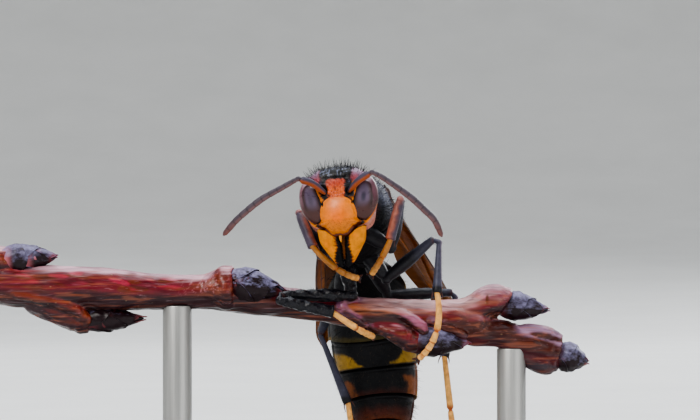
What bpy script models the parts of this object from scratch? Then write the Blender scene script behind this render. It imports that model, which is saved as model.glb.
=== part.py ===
"""A life-size Asian hornet worker gripping a short length of budding twig, held up by a plain stand.

Lengths are millimetres in a frame at the twig's middle: +X is the hornet's left, -Y is the way
it faces and +Z is up. The stand's underside is the floor, and its middle is the model's origin.
"""
import math

import bmesh
import bpy
from mathutils import Matrix, Vector

# Scale and clearances
MM = 0.001
GAP = 0.15  # what two touching pieces keep between them
ROOT_GAP = 0.2  # what a leg, a wing or the waist keeps from the thorax that it grows from
TWIG_HEIGHT = 16.5  # the twig's middle above the floor
TWIG_SHIFT = (3.8, -6.1)  # the twig's middle from the stand's, so that the stand is under everything

# Stand
BASE_SIZE = (40.0, 24.0, 3.0)
BASE_EDGE = 0.5
ROD_RADIUS = 0.9
RODS = {"stand_rod_right": (-10.6, 0.35, 0.2), "stand_rod_left": (10.0, 2.4, -2.5)}

# Head, in its own frame: +X its left, -Y out of the face, +Z its crown
HEAD_PLACE = Vector((-0.58, -1.95, 5.76))
HEAD_TURN = (math.radians(4), math.radians(-5), math.radians(-9))
HEAD_HALF_WIDTH = 2.28
HEAD_HALF_HEIGHT = 2.06
HEAD_LIFT = 0.28
HEAD_FRONT = 1.18
HEAD_BACK = 1.0
FACE_FLATNESS = 0.75
CROWN_SQUARENESS = 0.78  # below 1 the crown's corners fill out
HEAD_SIDES, HEAD_ROWS = 28, 16

# Eye, in degrees round the head and up it: its middle, its half sizes, its notch and its shell
EYE_MIDDLE = (68.0, 3.5)
EYE_HALF = (36.5, 36.0)
EYE_NOTCH = (0.24, 155.0, 24.0)  # depth as a share, direction and spread in degrees
EYE_DEPTH = 0.74
EYE_BULGE = 0.045
EYE_SIDES = 22

# Clypeus: half of its outline, and how far it stands out of the face
CLYPEUS_OUTLINE = [
    (0.0, 0.66), (0.5, 0.6), (0.84, 0.38), (1.04, 0.0), (1.12, -0.45), (1.14, -0.76),
    (1.36, -0.98), (1.18, -1.22), (0.82, -1.5), (0.5, -1.72), (0.0, -1.74),
]
CLYPEUS_FRONT = 1.2
CLYPEUS_DOME = 0.42
CLYPEUS_BACK = 0.72

# Mandible: outer edge, inner edge, and half thickness from its root to its tip
MANDIBLE_STATIONS = [
    ((1.62, -1.4), (0.3, -2.0), 0.36),
    ((1.55, -1.9), (0.3, -2.35), 0.4),
    ((1.32, -2.45), (0.28, -2.72), 0.37),
    ((1.02, -2.95), (0.24, -3.06), 0.31),
    ((0.72, -3.36), (0.16, -3.38), 0.24),
    ((0.36, -3.66), (0.12, -3.66), 0.13),
]
MANDIBLE_PLACE = -0.86
MANDIBLE_TEETH = (2.75, 3.05, 3.3)
TOOTH_RADIUS = 0.13

# Antennae: scape, then the flagellum's route, in the twig's frame
SCAPES = {
    "left": [(0.0, -3.05, 6.72), (0.5, -3.45, 7.28), (1.2, -3.62, 7.76)],
    "right": [(-1.6, -3.1, 6.62), (-2.3, -3.52, 7.13), (-3.02, -3.7, 7.36)],
}
FLAGELLA = {
    "left": [(1.4, -3.7, 7.76), (1.95, -3.78, 7.48), (2.9, -3.9, 6.84), (3.75, -3.95, 6.2),
             (4.5, -3.88, 5.5), (5.1, -3.77, 4.88), (5.55, -3.5, 3.9)],
    "right": [(-3.2, -3.72, 7.36), (-4.1, -3.85, 6.86), (-5.3, -4.0, 6.18), (-6.24, -4.0, 5.44),
              (-6.92, -3.9, 4.82), (-7.64, -3.7, 3.98)],
}
SCAPE_RADIUS = 0.27
FLAGELLUM_RADIUS = 0.27
FLAGELLUM_RINGS = 11

# Thorax: its axis from neck to waist, and half width and half height along it
NECK = Vector((-0.12, -0.45, 6.43))
WAIST = Vector((0.62, 5.0, 2.75))
THORAX_STATIONS = [
    (-0.7, 0.55, 0.55), (0.0, 0.8, 0.85), (0.35, 1.5, 1.4), (0.9, 2.05, 1.95), (1.6, 2.35, 2.35),
    (2.4, 2.5, 2.55), (3.3, 2.48, 2.55), (4.2, 2.25, 2.35), (5.0, 1.95, 2.05), (5.8, 1.5, 1.55),
    (6.3, 0.95, 1.0), (6.6, 0.6, 0.62),
]
THORAX_SIDES = 20
COLLAR_BACK = (1.3, 2.35, 1.5)  # the pronotum's hind edge along the axis: above, beside and below
PLEURA_BACK = (4.5, 4.7, 4.1)  # the same for the mesothorax

# Abdomen: its axis, half width and half height along it, and each segment's hind edge
ABDOMEN_AXIS = [
    (0.62, 5.0, 2.75), (0.78, 5.85, 2.1), (0.92, 6.9, 1.1), (1.14, 7.8, -0.32), (1.4, 8.3, -1.99),
    (1.66, 8.5, -3.91), (1.88, 8.3, -5.81), (2.03, 7.8, -7.56), (2.12, 7.1, -9.1), (2.16, 6.4, -10.4),
]
ABDOMEN_STATIONS = [
    (0.0, 0.4, 0.4), (0.9, 0.45, 0.5), (1.3, 0.95, 0.95), (1.9, 1.6, 1.5), (2.8, 2.2, 2.05),
    (4.2, 2.6, 2.4), (6.2, 2.75, 2.5), (8.2, 2.65, 2.42), (10.2, 2.35, 2.15), (12.0, 1.85, 1.7),
    (13.4, 1.2, 1.15), (14.3, 0.6, 0.6), (14.9, 0.12, 0.12),
]
PETIOLE_SPAN, PETIOLE_RADIUS = (0.15, 1.05), 0.38
SEGMENT_ENDS = [1.05, 3.5, 6.3, 8.6, 10.7, 12.5, 14.9]
SEGMENT_STEP = 0.09  # how far a segment's hind rim stands out over the next one
ABDOMEN_SIDES = 20

# Wings: root on the thorax as share along, aside and above; tip; length and widest chord
WING_ROOT = (2.1, 1.95, 1.62)
WING_SPREAD = {1: math.radians(13.0), -1: math.radians(6.5)}  # its left wings, then its right ones
WING_ROLL = math.radians(38.0)
WING_THICKNESS = 0.5
VEIN_HEIGHT = 0.1
WING_CROWN = 0.35
WING_BOWS = ((0.5, 0.55, 0.25), (0.6, 0.9, 0.2))  # the front edge's bows: reach, middle and spread
WING_SAG = 0.0012  # how far a wing bends down, for each square millimetre of its length
WINGS = {
    "forewing": {"length": 17.2, "chord": 3.1, "below": 0.0, "rows": 24, "columns": 8,
                 "veins": (0, 2, 4, 6), "cross": ((9, 2, 4), (14, 2, 6), (17, 0, 4), (20, 2, 4))},
    "hindwing": {"length": 11.8, "chord": 2.1, "below": 1.0, "rows": 15, "columns": 6,
                 "veins": (0, 3, 5), "cross": ((9, 0, 3), (11, 3, 5))},
}

# Legs: hip, hip's end, knee, ankle, foot's bend and claw, in the twig's frame
LEGS = {
    "fore_left": [(0.61, -0.2, 4.41), (2.5, -0.5, 3.2), (3.1, -1.3, 6.15), (2.44, -2.0, 3.7),
                  (2.07, -1.75, 2.7), (1.46, -0.5, 1.62)],
    "fore_right": [(-0.49, -0.2, 4.41), (-1.75, -0.75, 2.8), (-3.02, -0.4, 5.25), (-2.25, -2.1, 3.27),
                   (-0.75, -1.85, 1.6), (0.34, -0.65, 1.32)],
    "mid_left": [(1.05, 1.6, 2.86), (2.25, 1.25, 1.27), (5.28, 0.2, 3.61), (5.32, -0.75, 0.45),
                 (5.8, -1.05, -2.25), (4.2, -0.15, -3.62)],
    "mid_right": [(-0.37, 1.5, 2.86), (0.05, 0.2, 0.75), (-4.27, -1.0, 0.15), (-0.98, -1.05, -0.78),
                  (0.6, -1.4, -1.9), (1.42, 0.3, -2.45)],
    "hind_left": [(1.37, 3.2, 2.22), (2.37, 3.5, 0.2), (6.45, 4.6, 0.2), (5.88, 3.4, -3.63),
                  (6.3, 3.2, -7.2), (6.54, 3.4, -9.73)],
    "hind_right": [(-0.12, 3.4, 2.22), (-0.75, 4.0, 0.4), (-1.85, 6.2, -2.3), (-0.13, 5.6, -6.63),
                   (0.35, 4.9, -9.9), (0.63, 4.9, -12.0)],
}
COXA_RADIUS, FEMUR_RADIUS, KNEE_RADIUS = 0.55, 0.38, 0.25
TIBIA_RADIUS, TIBIA_ROOT_RADIUS, TARSUS_RADIUS = 0.31, 0.24, 0.22
TARSUS_SHARES = (0.0, 0.5, 0.67, 0.8, 0.9, 1.0)
CLAW_RADIUS, CLAW_LENGTH = 0.13, 0.5

# Twig: its axis and radius from end to end, then each shoot and bud from root to tip
TWIG_AXIS = [
    (-22.3, -0.3, 0.95), (-18.4, -0.1, 0.76), (-14.7, 0.1, 0.64), (-12.3, 0.25, 0.52),
    (-9.2, 0.45, 0.5), (-7.2, 0.55, 0.45), (-5.4, 0.65, 0.05), (-3.1, 0.8, -0.27), (-0.9, 0.95, -0.6),
    (0.6, 1.1, -0.84), (3.1, 1.3, -1.1), (5.6, 1.6, -1.22), (7.7, 1.95, -1.35), (8.6, 2.1, -1.35),
]
TWIG_RADII = [1.15, 1.35, 1.3, 1.12, 1.05, 1.2, 1.05, 0.9, 0.93, 1.0, 1.12, 1.3, 1.5, 0.7]
TWIG_SIDES = 12
SHOULDERS = [  # swollen leaf scars, fused to the twig: place and radius at each knot
    [((-19.6, -0.15, 0.1), 0.8), ((-18.1, -0.1, -0.5), 0.92), ((-17.2, -0.05, -0.95), 0.86),
     ((-16.4, 0.0, -1.3), 0.78), ((-16.0, 0.0, -1.34), 0.66)],
    [((-22.0, -0.2, 2.2), 0.8), ((-21.4, -0.2, 2.3), 0.85), ((-20.6, -0.2, 2.3), 0.75)],
    [((-9.4, 0.4, 0.5), 0.85), ((-8.4, 0.35, 0.62), 1.12), ((-7.6, 0.3, 0.7), 1.35),
     ((-7.1, 0.25, 0.72), 1.2)],
    [((1.6, 0.75, -1.6), 0.42), ((2.4, 0.5, -1.9), 0.5), ((3.05, 0.45, -2.17), 0.64),
     ((3.9, 0.5, -2.55), 0.7), ((4.15, 0.5, -2.6), 0.6)],
]
SHOOTS = {
    "twig_upper_shoot": [((7.0, 1.9, -1.0), 0.85), ((8.0, 2.05, -0.45), 0.95), ((8.8, 2.1, -0.15), 1.05),
                         ((9.3, 2.15, -0.18), 1.0), ((9.6, 2.2, -0.28), 0.84)],
    "twig_lower_shoot": [((7.2, 1.9, -1.7), 0.9), ((9.3, 2.3, -2.15), 0.92), ((11.3, 2.6, -3.0), 1.15),
                         ((12.9, 2.8, -3.3), 1.1)],
}
BUDS = {
    "bud_far_right": [(-20.6, -0.25, 2.5), (-18.0, -0.2, 2.66), 0.78],
    "bud_low_right": [(-16.0, 0.0, -1.22), (-12.6, 0.0, -1.12), 0.68],
    "bud_middle": [(-7.0, 0.1, 1.0), (-4.0, -0.1, 0.55), 0.98],
    "bud_low_left": [(4.15, 0.7, -2.45), (7.4, 1.2, -2.85), 0.85],
    "bud_upper_left": [(9.6, 2.3, -0.34), (12.3, 2.6, -0.62), 0.8],
    "bud_end_left": [(13.1, 2.95, -3.4), (14.8, 3.1, -3.95), 0.78],
}

# Finishes: colour, roughness and metallic
FINISHES = {
    "chitin_black": ((0.03, 0.03, 0.04), 0.42, 0.0),
    "chitin_orange": ((0.78, 0.24, 0.03), 0.3, 0.0),
    "chitin_yellow": ((0.75, 0.38, 0.08), 0.4, 0.0),
    "chitin_brown": ((0.12, 0.05, 0.03), 0.4, 0.0),
    "eye_brown": ((0.07, 0.025, 0.03), 0.2, 0.0),
    "wing_amber": ((0.42, 0.15, 0.03), 0.35, 0.0),
    "bark_red": ((0.2, 0.03, 0.045), 0.45, 0.0),
    "bud_violet": ((0.07, 0.05, 0.08), 0.6, 0.0),
    "stand_grey": ((0.55, 0.55, 0.53), 0.5, 0.0),
}


# Tools for shapes, all in millimetres


def smooth_route(knots, per_span):
    """Points and radii along a smooth curve through the knots, each a point and a radius."""
    points = [Vector(point) for point, _ in knots]
    ends = [2 * points[0] - points[1]] + points + [2 * points[-1] - points[-2]]
    route = []
    for i in range(len(points) - 1):
        before, start, end, after = ends[i : i + 4]
        for step in range(per_span):
            t = step / per_span
            pull = (end - before) * 0.5
            push = (after - start) * 0.5
            place = (
                start * (2 * t**3 - 3 * t**2 + 1) + pull * (t**3 - 2 * t**2 + t)
                + end * (3 * t**2 - 2 * t**3) + push * (t**3 - t**2)
            )
            route.append((place, knots[i][1] * (1 - t) + knots[i + 1][1] * t))
    route.append((points[-1], knots[-1][1]))
    return route


def along(stations, place):
    """The sizes between two stations, at a place given by the stations' first number."""
    for low, high in zip(stations, stations[1:]):
        if place <= high[0]:
            break
    share = (place - low[0]) / (high[0] - low[0])
    share = min(max(share, 0.0), 1.0)
    share = share * share * (3 - 2 * share) * 0.35 + share * 0.65
    return [a + (b - a) * share for a, b in zip(low[1:], high[1:])]


class Spine:
    """A smooth axis that gives a place, and the directions aside and above, at a length along it."""

    def __init__(self, knots, aside):
        self.points = [place for place, _ in smooth_route([(knot, 1.0) for knot in knots], 8)]
        self.aside = aside.normalized()
        self.lengths = [0.0]
        for a, b in zip(self.points, self.points[1:]):
            self.lengths.append(self.lengths[-1] + (b - a).length)

    def at(self, length):
        i = 0
        while i < len(self.points) - 2 and self.lengths[i + 1] < length:
            i += 1
        ahead = (self.points[i + 1] - self.points[i]).normalized()
        if 0 < i and length > 0:
            before = (self.points[i] - self.points[i - 1]).normalized()
            share = (length - self.lengths[i]) / (self.lengths[i + 1] - self.lengths[i])
            ahead = before.lerp(ahead, 0.5 + 0.5 * min(max(share, 0.0), 1.0)).normalized()
        place = self.points[i] + ahead * (length - self.lengths[i])
        aside = (self.aside - ahead * self.aside.dot(ahead)).normalized()
        return place, aside, aside.cross(ahead)


def loft(rings):
    """A closed skin over rings of points, each end closed by a fan."""
    shape = bmesh.new()
    rows = [[shape.verts.new(point) for point in ring] for ring in rings]
    count = len(rings[0])
    for low, high in zip(rows, rows[1:]):
        for i in range(count):
            shape.faces.new((low[i], low[(i + 1) % count], high[(i + 1) % count], high[i]))
    for row in (rows[0], rows[-1]):
        middle = shape.verts.new(sum((vert.co for vert in row), Vector()) / count)
        for i in range(count):
            shape.faces.new((row[i], row[(i + 1) % count], middle))
    bmesh.ops.recalc_face_normals(shape, faces=shape.faces)
    return shape


def tube(route, sides=8, grow=0.0):
    """A round tube along points and radii, closed at both ends."""
    curve = bpy.data.curves.new("tube", "CURVE")
    curve.dimensions = "3D"
    curve.bevel_depth = 1.0
    curve.bevel_resolution = sides // 2 - 2
    curve.use_fill_caps = True
    spline = curve.splines.new("POLY")
    spline.points.add(len(route) - 1)
    for knot, (place, radius) in zip(spline.points, route):
        knot.co = (*place, 1.0)
        knot.radius = radius + grow
    for knot, end, inner in ((spline.points[0], route[0][0], route[1][0]),
                             (spline.points[-1], route[-1][0], route[-2][0])):
        knot.co = (*(end + (end - inner).normalized() * grow), 1.0)
    guide = bpy.data.objects.new("tube", curve)
    bpy.context.scene.collection.objects.link(guide)
    graph = bpy.context.evaluated_depsgraph_get()
    mesh = bpy.data.meshes.new_from_object(guide.evaluated_get(graph))
    shape = bmesh.new()
    shape.from_mesh(mesh)
    bmesh.ops.remove_doubles(shape, verts=shape.verts, dist=0.0001)
    bmesh.ops.recalc_face_normals(shape, faces=shape.faces)
    bpy.data.objects.remove(guide)
    bpy.data.curves.remove(curve)
    bpy.data.meshes.remove(mesh)
    return shape


def rounded(route, length=0.12):
    """The same route with its ends drawn in, so that a tube on it has no sharp rim."""
    (first, first_radius), (last, last_radius) = route[0], route[-1]
    start = first + (route[1][0] - first).normalized() * length
    end = last + (route[-2][0] - last).normalized() * length
    middle = [knot for knot in route[1:-1]
              if (knot[0] - first).length > 1.5 * length and (knot[0] - last).length > 1.5 * length]
    return (
        [(first, first_radius * 0.62), (start, first_radius)] + middle
        + [(end, last_radius), (last, last_radius * 0.62)]
    )


def largest_surface(shape):
    """Leaves the closed surface of most volume."""
    shape.faces.ensure_lookup_table()
    seen = set()
    islands = []
    for face in shape.faces:
        if face in seen:
            continue
        island, queue = [], [face]
        seen.add(face)
        while queue:
            current = queue.pop()
            island.append(current)
            for edge in current.edges:
                for other in edge.link_faces:
                    if other not in seen:
                        seen.add(other)
                        queue.append(other)
        islands.append(island)

    def volume(island):
        total = 0.0
        for face in island:
            corners = [vert.co for vert in face.verts]
            for b, c in zip(corners[1:], corners[2:]):
                total += corners[0].dot(b.cross(c)) / 6
        return total

    islands.sort(key=volume, reverse=True)
    spare = [face for island in islands[1:] for face in island]
    bmesh.ops.delete(shape, geom=spare, context="FACES")


def combine(base, others, operation, solver="EXACT"):
    """Joins closed shapes to a base, or cuts it with them."""
    scene = bpy.context.scene
    tools = bpy.data.collections.new("tools")
    scene.collection.children.link(tools)
    made = []
    for shape in [base] + others:
        mesh = bpy.data.meshes.new("tool")
        shape.to_mesh(mesh)
        shape.free()
        made.append(bpy.data.objects.new("tool", mesh))
    scene.collection.objects.link(made[0])
    for other in made[1:]:
        tools.objects.link(other)
    modifier = made[0].modifiers.new("combine", "BOOLEAN")
    modifier.operation = operation
    modifier.solver = solver
    modifier.operand_type = "COLLECTION"
    modifier.collection = tools
    graph = bpy.context.evaluated_depsgraph_get()
    result = bpy.data.meshes.new_from_object(made[0].evaluated_get(graph))
    shape = bmesh.new()
    shape.from_mesh(result)
    bmesh.ops.remove_doubles(shape, verts=shape.verts, dist=0.0005)
    bmesh.ops.dissolve_degenerate(shape, edges=shape.edges, dist=0.0005)
    largest_surface(shape)
    bpy.data.meshes.remove(result)
    for tool in made:
        mesh = tool.data
        bpy.data.objects.remove(tool)
        bpy.data.meshes.remove(mesh)
    bpy.data.collections.remove(tools)
    return shape


def add_node(model, name, shape, finish, smooth_angle=40.0):
    """Turns a shape into a named object of the model, in metres."""
    bmesh.ops.scale(shape, vec=(MM, MM, MM), verts=shape.verts)
    mesh = bpy.data.meshes.new(name)
    shape.to_mesh(mesh)
    shape.free()
    mesh.shade_smooth()
    mesh.set_sharp_from_angle(angle=math.radians(smooth_angle))
    mesh.materials.append(model["finishes"][finish])
    node = bpy.data.objects.new(name, mesh)
    node.parent = model["frame"]
    model["collection"].objects.link(node)
    return node


# Head


def head_frame():
    turn = Matrix.Rotation(HEAD_TURN[2], 4, "Z")
    nod = Matrix.Rotation(HEAD_TURN[0], 4, "X")
    roll = Matrix.Rotation(HEAD_TURN[1], 4, "Y")
    return Matrix.Translation(HEAD_PLACE) @ turn @ nod @ roll


def in_head(shape):
    shape.transform(head_frame())
    return shape


def head_point(around, up, scale=1.0, grow=0.0):
    """A point of the head's surface, from degrees round it and up it."""
    around, up = math.radians(around), math.radians(up)
    corner = CROWN_SQUARENESS if up > 0 else 1.0
    level = abs(math.cos(up)) ** corner
    rise = math.copysign(abs(math.sin(up)) ** corner, up)
    facing = math.cos(around) * level
    depth = HEAD_FRONT if facing > 0 else HEAD_BACK
    reach = abs(facing) ** FACE_FLATNESS
    return Vector((
        (HEAD_HALF_WIDTH * scale + grow) * math.sin(around) * level,
        -math.copysign(reach * (depth * scale + grow), facing),
        HEAD_LIFT + (HEAD_HALF_HEIGHT * scale + grow) * rise,
    ))


def head_shape(grow=0.0):
    shape = bmesh.new()
    bmesh.ops.create_uvsphere(shape, u_segments=HEAD_SIDES, v_segments=HEAD_ROWS, radius=1.0)
    for vert in shape.verts:
        up = math.degrees(math.asin(max(-1.0, min(1.0, vert.co.z))))
        around = math.degrees(math.atan2(vert.co.x, -vert.co.y))
        vert.co = head_point(around, up, 1.0, grow)
    return shape


def eye_outline(side, angle, widen):
    """The eye's edge in degrees round and up the head, with its notch on the inner side."""
    turn = math.radians(angle)
    depth, notch_angle, spread = EYE_NOTCH
    off = (angle - notch_angle + 180) % 360 - 180
    reach = 1 - depth * math.exp(-((off / spread) ** 2))
    around = EYE_MIDDLE[0] + (EYE_HALF[0] * reach + widen) * math.cos(turn)
    up = EYE_MIDDLE[1] + (EYE_HALF[1] * reach + widen) * math.sin(turn)
    return side * around, up


def eye_shape(side, widen=0.0, inner=EYE_DEPTH, outer=1.02, bulge=EYE_BULGE):
    """A bean-shaped shell that follows the head's side and swells out of it."""
    def ring(share, scale):
        points = []
        for i in range(EYE_SIDES):
            around, up = eye_outline(side, 360 * i / EYE_SIDES, widen)
            middle = (side * EYE_MIDDLE[0], EYE_MIDDLE[1])
            points.append(head_point(
                middle[0] + (around - middle[0]) * share, middle[1] + (up - middle[1]) * share, scale))
        return points

    rings = [ring(0.45, inner), ring(1.0, inner)]
    for share in (1.0, 0.86, 0.6, 0.3):
        rings.append(ring(share, outer + bulge * (1 - share**2.5)))
    return loft(rings)


def clypeus_shape(grow=0.0):
    """The domed plate over the mouth, cut square behind."""
    half = [Vector((x, 0, z)) for x, z in CLYPEUS_OUTLINE]
    outline = half + [Vector((-point.x, 0, point.z)) for point in reversed(half[1:-1])]
    middle = Vector((0, 0, -0.6))

    def ring(share, front):
        points = []
        for edge in outline:
            place = middle + (edge - middle) * share
            place += (edge - middle).normalized() * grow * share
            dome = CLYPEUS_DOME * (1 - share**2.2) - 0.12 * place.x**2
            place.y = -(CLYPEUS_FRONT + dome + grow) if front else -CLYPEUS_BACK + grow
            points.append(place)
        return points

    rings = [ring(0.4, False), ring(1.0, False)]
    rings += [ring(share, True) for share in (1.0, 0.84, 0.6, 0.3)]
    return loft(rings)


def mandible_shape(side, grow=0.0):
    """One jaw, broad at its root and pointed below, with three teeth on its inner edge."""
    rings = []
    for outer, inner, thick in MANDIBLE_STATIONS:
        middle = Vector((outer[0] + inner[0], 0, outer[1] + inner[1])) / 2
        reach = Vector((outer[0] - inner[0], 0, outer[1] - inner[1])) / 2
        ring = []
        for i in range(10):
            turn = math.tau * i / 10
            place = middle + reach * math.copysign(abs(math.cos(turn)) ** 0.8, math.cos(turn))
            place.y = MANDIBLE_PLACE - (thick + grow) * math.sin(turn)
            place.x *= side
            ring.append(place)
        rings.append(ring)
    jaw = loft(rings)
    teeth = []
    for drop in MANDIBLE_TEETH:
        root = Vector((side * 0.45, MANDIBLE_PLACE, -drop))
        tip = Vector((side * 0.12, MANDIBLE_PLACE, -drop - 0.05))
        teeth.append(tube([(root, TOOTH_RADIUS), (tip, TOOTH_RADIUS * 0.45)], 6))
    return combine(jaw, teeth, "UNION")


def make_head(model):
    cuts = [eye_shape(side, 3.0, EYE_DEPTH - 0.07, 1.3, 0.0) for side in (1, -1)]
    cuts.append(clypeus_shape(GAP * 0.6))
    skull = combine(head_shape(), cuts, "DIFFERENCE")
    add_node(model, "head", in_head(skull), "chitin_black")
    for name, side in (("left", 1), ("right", -1)):
        eye = combine(eye_shape(side), [clypeus_shape(GAP * 0.8)], "DIFFERENCE")
        add_node(model, f"eye_{name}", in_head(eye), "eye_brown")
        jaw = combine(mandible_shape(side), [head_shape(GAP), clypeus_shape(GAP)], "DIFFERENCE")
        add_node(model, f"mandible_{name}", in_head(jaw), "chitin_orange")
    add_node(model, "clypeus", in_head(clypeus_shape()), "chitin_orange")


def make_antennae(model):
    for name in ("left", "right"):
        scape = [(Vector(point), SCAPE_RADIUS) for point in SCAPES[name]]
        stalk = tube(rounded(smooth_route(scape, 3)))
        stalk = combine(stalk, [in_head(head_shape(GAP))], "DIFFERENCE")
        add_node(model, f"antenna_{name}_scape", stalk, "chitin_orange")
        knots = [(Vector(point), FLAGELLUM_RADIUS) for point in FLAGELLA[name]]
        spine = Spine([point for point, _ in knots], Vector((0, 1, 0)))
        whole = spine.lengths[-1]
        route = [(spine.at(0)[0], 0.2)]
        for i in range(FLAGELLUM_RINGS):
            start = whole * i / FLAGELLUM_RINGS
            length = whole / FLAGELLUM_RINGS
            slim = 0.9 + 0.1 * math.sin(math.pi * (i + 1) / (FLAGELLUM_RINGS + 1))
            if i == FLAGELLUM_RINGS - 1:
                slim *= 0.85
            route.append((spine.at(start + 0.12 * length)[0], FLAGELLUM_RADIUS * slim * 0.93))
            route.append((spine.at(start + 0.8 * length)[0], FLAGELLUM_RADIUS * slim))
        route.append((spine.at(whole)[0], 0.1))
        add_node(model, f"antenna_{name}_flagellum", tube(route), "chitin_brown")


# Thorax and abdomen


def thorax_spine():
    return Spine([NECK, (NECK + WAIST) / 2, WAIST], Vector((1, 0, 0)))


def edge_place(edge, turn):
    """A segment's edge along the body at a turn: sine 1 above, 0 beside and -1 below."""
    above, beside, below = edge
    height = math.sin(turn)
    end = above if height > 0 else below
    return beside + (end - beside) * abs(height) ** 1.3


def body_ring(spine, stations, places, sides, grow=0.0, square=2.2):
    """One ring round the body, with its own place along the axis at each turn."""
    ring = []
    for i in range(sides):
        turn = math.tau * i / sides
        place, aside, above = spine.at(places(turn))
        half_width, half_height = along(stations, places(turn))
        across = math.copysign(abs(math.cos(turn)) ** (2 / square), math.cos(turn))
        height = math.copysign(abs(math.sin(turn)) ** (2 / square), math.sin(turn))
        ring.append(place + aside * (half_width + grow) * across + above * (half_height + grow) * height)
    return ring


def thorax_piece(front, back, rows, grow=0.0):
    """A length of the thorax between two edges, each given above, beside and below."""
    spine = thorax_spine()
    rings = []
    for row in range(rows + 1):
        share = row / rows
        rings.append(body_ring(
            spine, THORAX_STATIONS,
            lambda turn, share=share: edge_place(front, turn) * (1 - share) + edge_place(back, turn) * share,
            THORAX_SIDES, grow))
    return loft(rings)


def shifted(edge, by):
    return tuple(value + by for value in edge)


def whole_thorax(grow):
    return thorax_piece((-0.7, -0.7, -0.7), (6.6 + grow,) * 3, 12, grow)


def make_thorax(model):
    collar = thorax_piece((-0.65,) * 3, shifted(COLLAR_BACK, -GAP), 7)
    collar = combine(collar, [in_head(head_shape(GAP))], "DIFFERENCE")
    add_node(model, "pronotum", collar, "chitin_black")
    add_node(model, "mesothorax", thorax_piece(COLLAR_BACK, PLEURA_BACK, 8), "chitin_black")
    rear = thorax_piece(shifted(PLEURA_BACK, GAP), (6.55,) * 3, 6)
    add_node(model, "propodeum", rear, "chitin_black")


def abdomen_spine():
    return Spine(ABDOMEN_AXIS, Vector((1, 0, 0)))


def abdomen_piece(front, back, step):
    """A length of the abdomen, its hind rim standing out by a step."""
    spine = abdomen_spine()
    rows = max(3, round((back - front) / 0.55))
    rings = []
    for row in range(rows + 1):
        place = front + (back - front) * row / rows
        swell = step * (row / rows) ** 2 - step * 0.4 * (1 - row / rows)
        rings.append(body_ring(
            spine, ABDOMEN_STATIONS, lambda turn, place=place: place, ABDOMEN_SIDES, swell, 2.0))
    return loft(rings)


def make_abdomen(model):
    spine = abdomen_spine()
    first, last = PETIOLE_SPAN
    stalk = [(spine.at(first + (last - first) * i / 3)[0], PETIOLE_RADIUS) for i in range(4)]
    waist = combine(tube(stalk), [whole_thorax(ROOT_GAP)], "DIFFERENCE")
    add_node(model, "petiole", waist, "chitin_black")
    finishes = ("chitin_black", "chitin_black", "chitin_black", "chitin_orange", "chitin_brown",
                "chitin_brown")
    for i, finish in enumerate(finishes):
        last = i == len(finishes) - 1
        piece = abdomen_piece(SEGMENT_ENDS[i] + GAP, SEGMENT_ENDS[i + 1], 0.0 if last else SEGMENT_STEP)
        add_node(model, f"abdomen_{i + 1}", piece, finish)


# Wings


def wing_outline(share, chord):
    """How far a wing reaches from its front edge to its hind edge, at a share of its length."""
    swell = min(1.0, 0.16 + 1.25 * share)
    tip = max(0.0, 1 - ((share - 0.55) / 0.45) ** 3) if share > 0.55 else 1.0
    return chord * swell * (0.22 + 0.78 * tip**0.6)


def wing_shape(side, size):
    """A folded wing: a thin slab that bends down at its edges, its veins raised in both faces."""
    body = thorax_spine()
    along_axis, aside, above = body.at(WING_ROOT[0])
    ahead = (WAIST - NECK).normalized()
    outward = aside * side
    span = ahead * math.cos(WING_SPREAD[side]) + outward * math.sin(WING_SPREAD[side])
    inward = -outward * math.cos(WING_ROLL) + above * math.sin(WING_ROLL)
    inward = (inward - span * inward.dot(span)).normalized()
    lift = inward.cross(span) * side
    if lift.dot(above) < 0:
        lift = -lift
    root = along_axis + outward * WING_ROOT[1] + above * WING_ROOT[2] - lift * size["below"]
    rows, columns = size["rows"], size["columns"]
    shape = bmesh.new()
    faces = {}
    for face in (1, -1):
        for row in range(rows + 1):
            share = row / rows
            chord = wing_outline(share, size["chord"])
            start = sum(
                reach * math.exp(-(((share - middle) / spread) ** 2)) for reach, middle, spread in WING_BOWS)
            for column in range(columns + 1):
                across = column / columns
                raised = column in size["veins"] and share < 0.96
                for cross_row, first, last in size["cross"]:
                    raised = raised or (row == cross_row and first <= column <= last)
                droop = WING_CROWN * (1 - (2 * across - 1) ** 2) - WING_SAG * (share * size["length"]) ** 2
                height = face * (WING_THICKNESS / 2 + (VEIN_HEIGHT if raised else 0.0)) + droop
                place = (
                    root + span * size["length"] * share + inward * (across * chord - start)
                    + lift * height
                )
                faces[face, row, column] = shape.verts.new(place)

    def close(a, b, c, d):
        shape.faces.new((a, b, c))
        shape.faces.new((a, c, d))

    for row in range(rows):
        for column in range(columns):
            for face in (1, -1):
                close(faces[face, row, column], faces[face, row + 1, column],
                      faces[face, row + 1, column + 1], faces[face, row, column + 1])
        for column in (0, columns):
            close(faces[1, row, column], faces[1, row + 1, column],
                  faces[-1, row + 1, column], faces[-1, row, column])
    for column in range(columns):
        for row in (0, rows):
            close(faces[1, row, column], faces[1, row, column + 1],
                  faces[-1, row, column + 1], faces[-1, row, column])
    bmesh.ops.recalc_face_normals(shape, faces=shape.faces)
    return shape


def make_wings(model):
    for kind, size in WINGS.items():
        for name, side in (("left", 1), ("right", -1)):
            wing = combine(wing_shape(side, size), [whole_thorax(ROOT_GAP)], "DIFFERENCE")
            add_node(model, f"{kind}_{name}", wing, "wing_amber", 25.0)


# Legs


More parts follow.
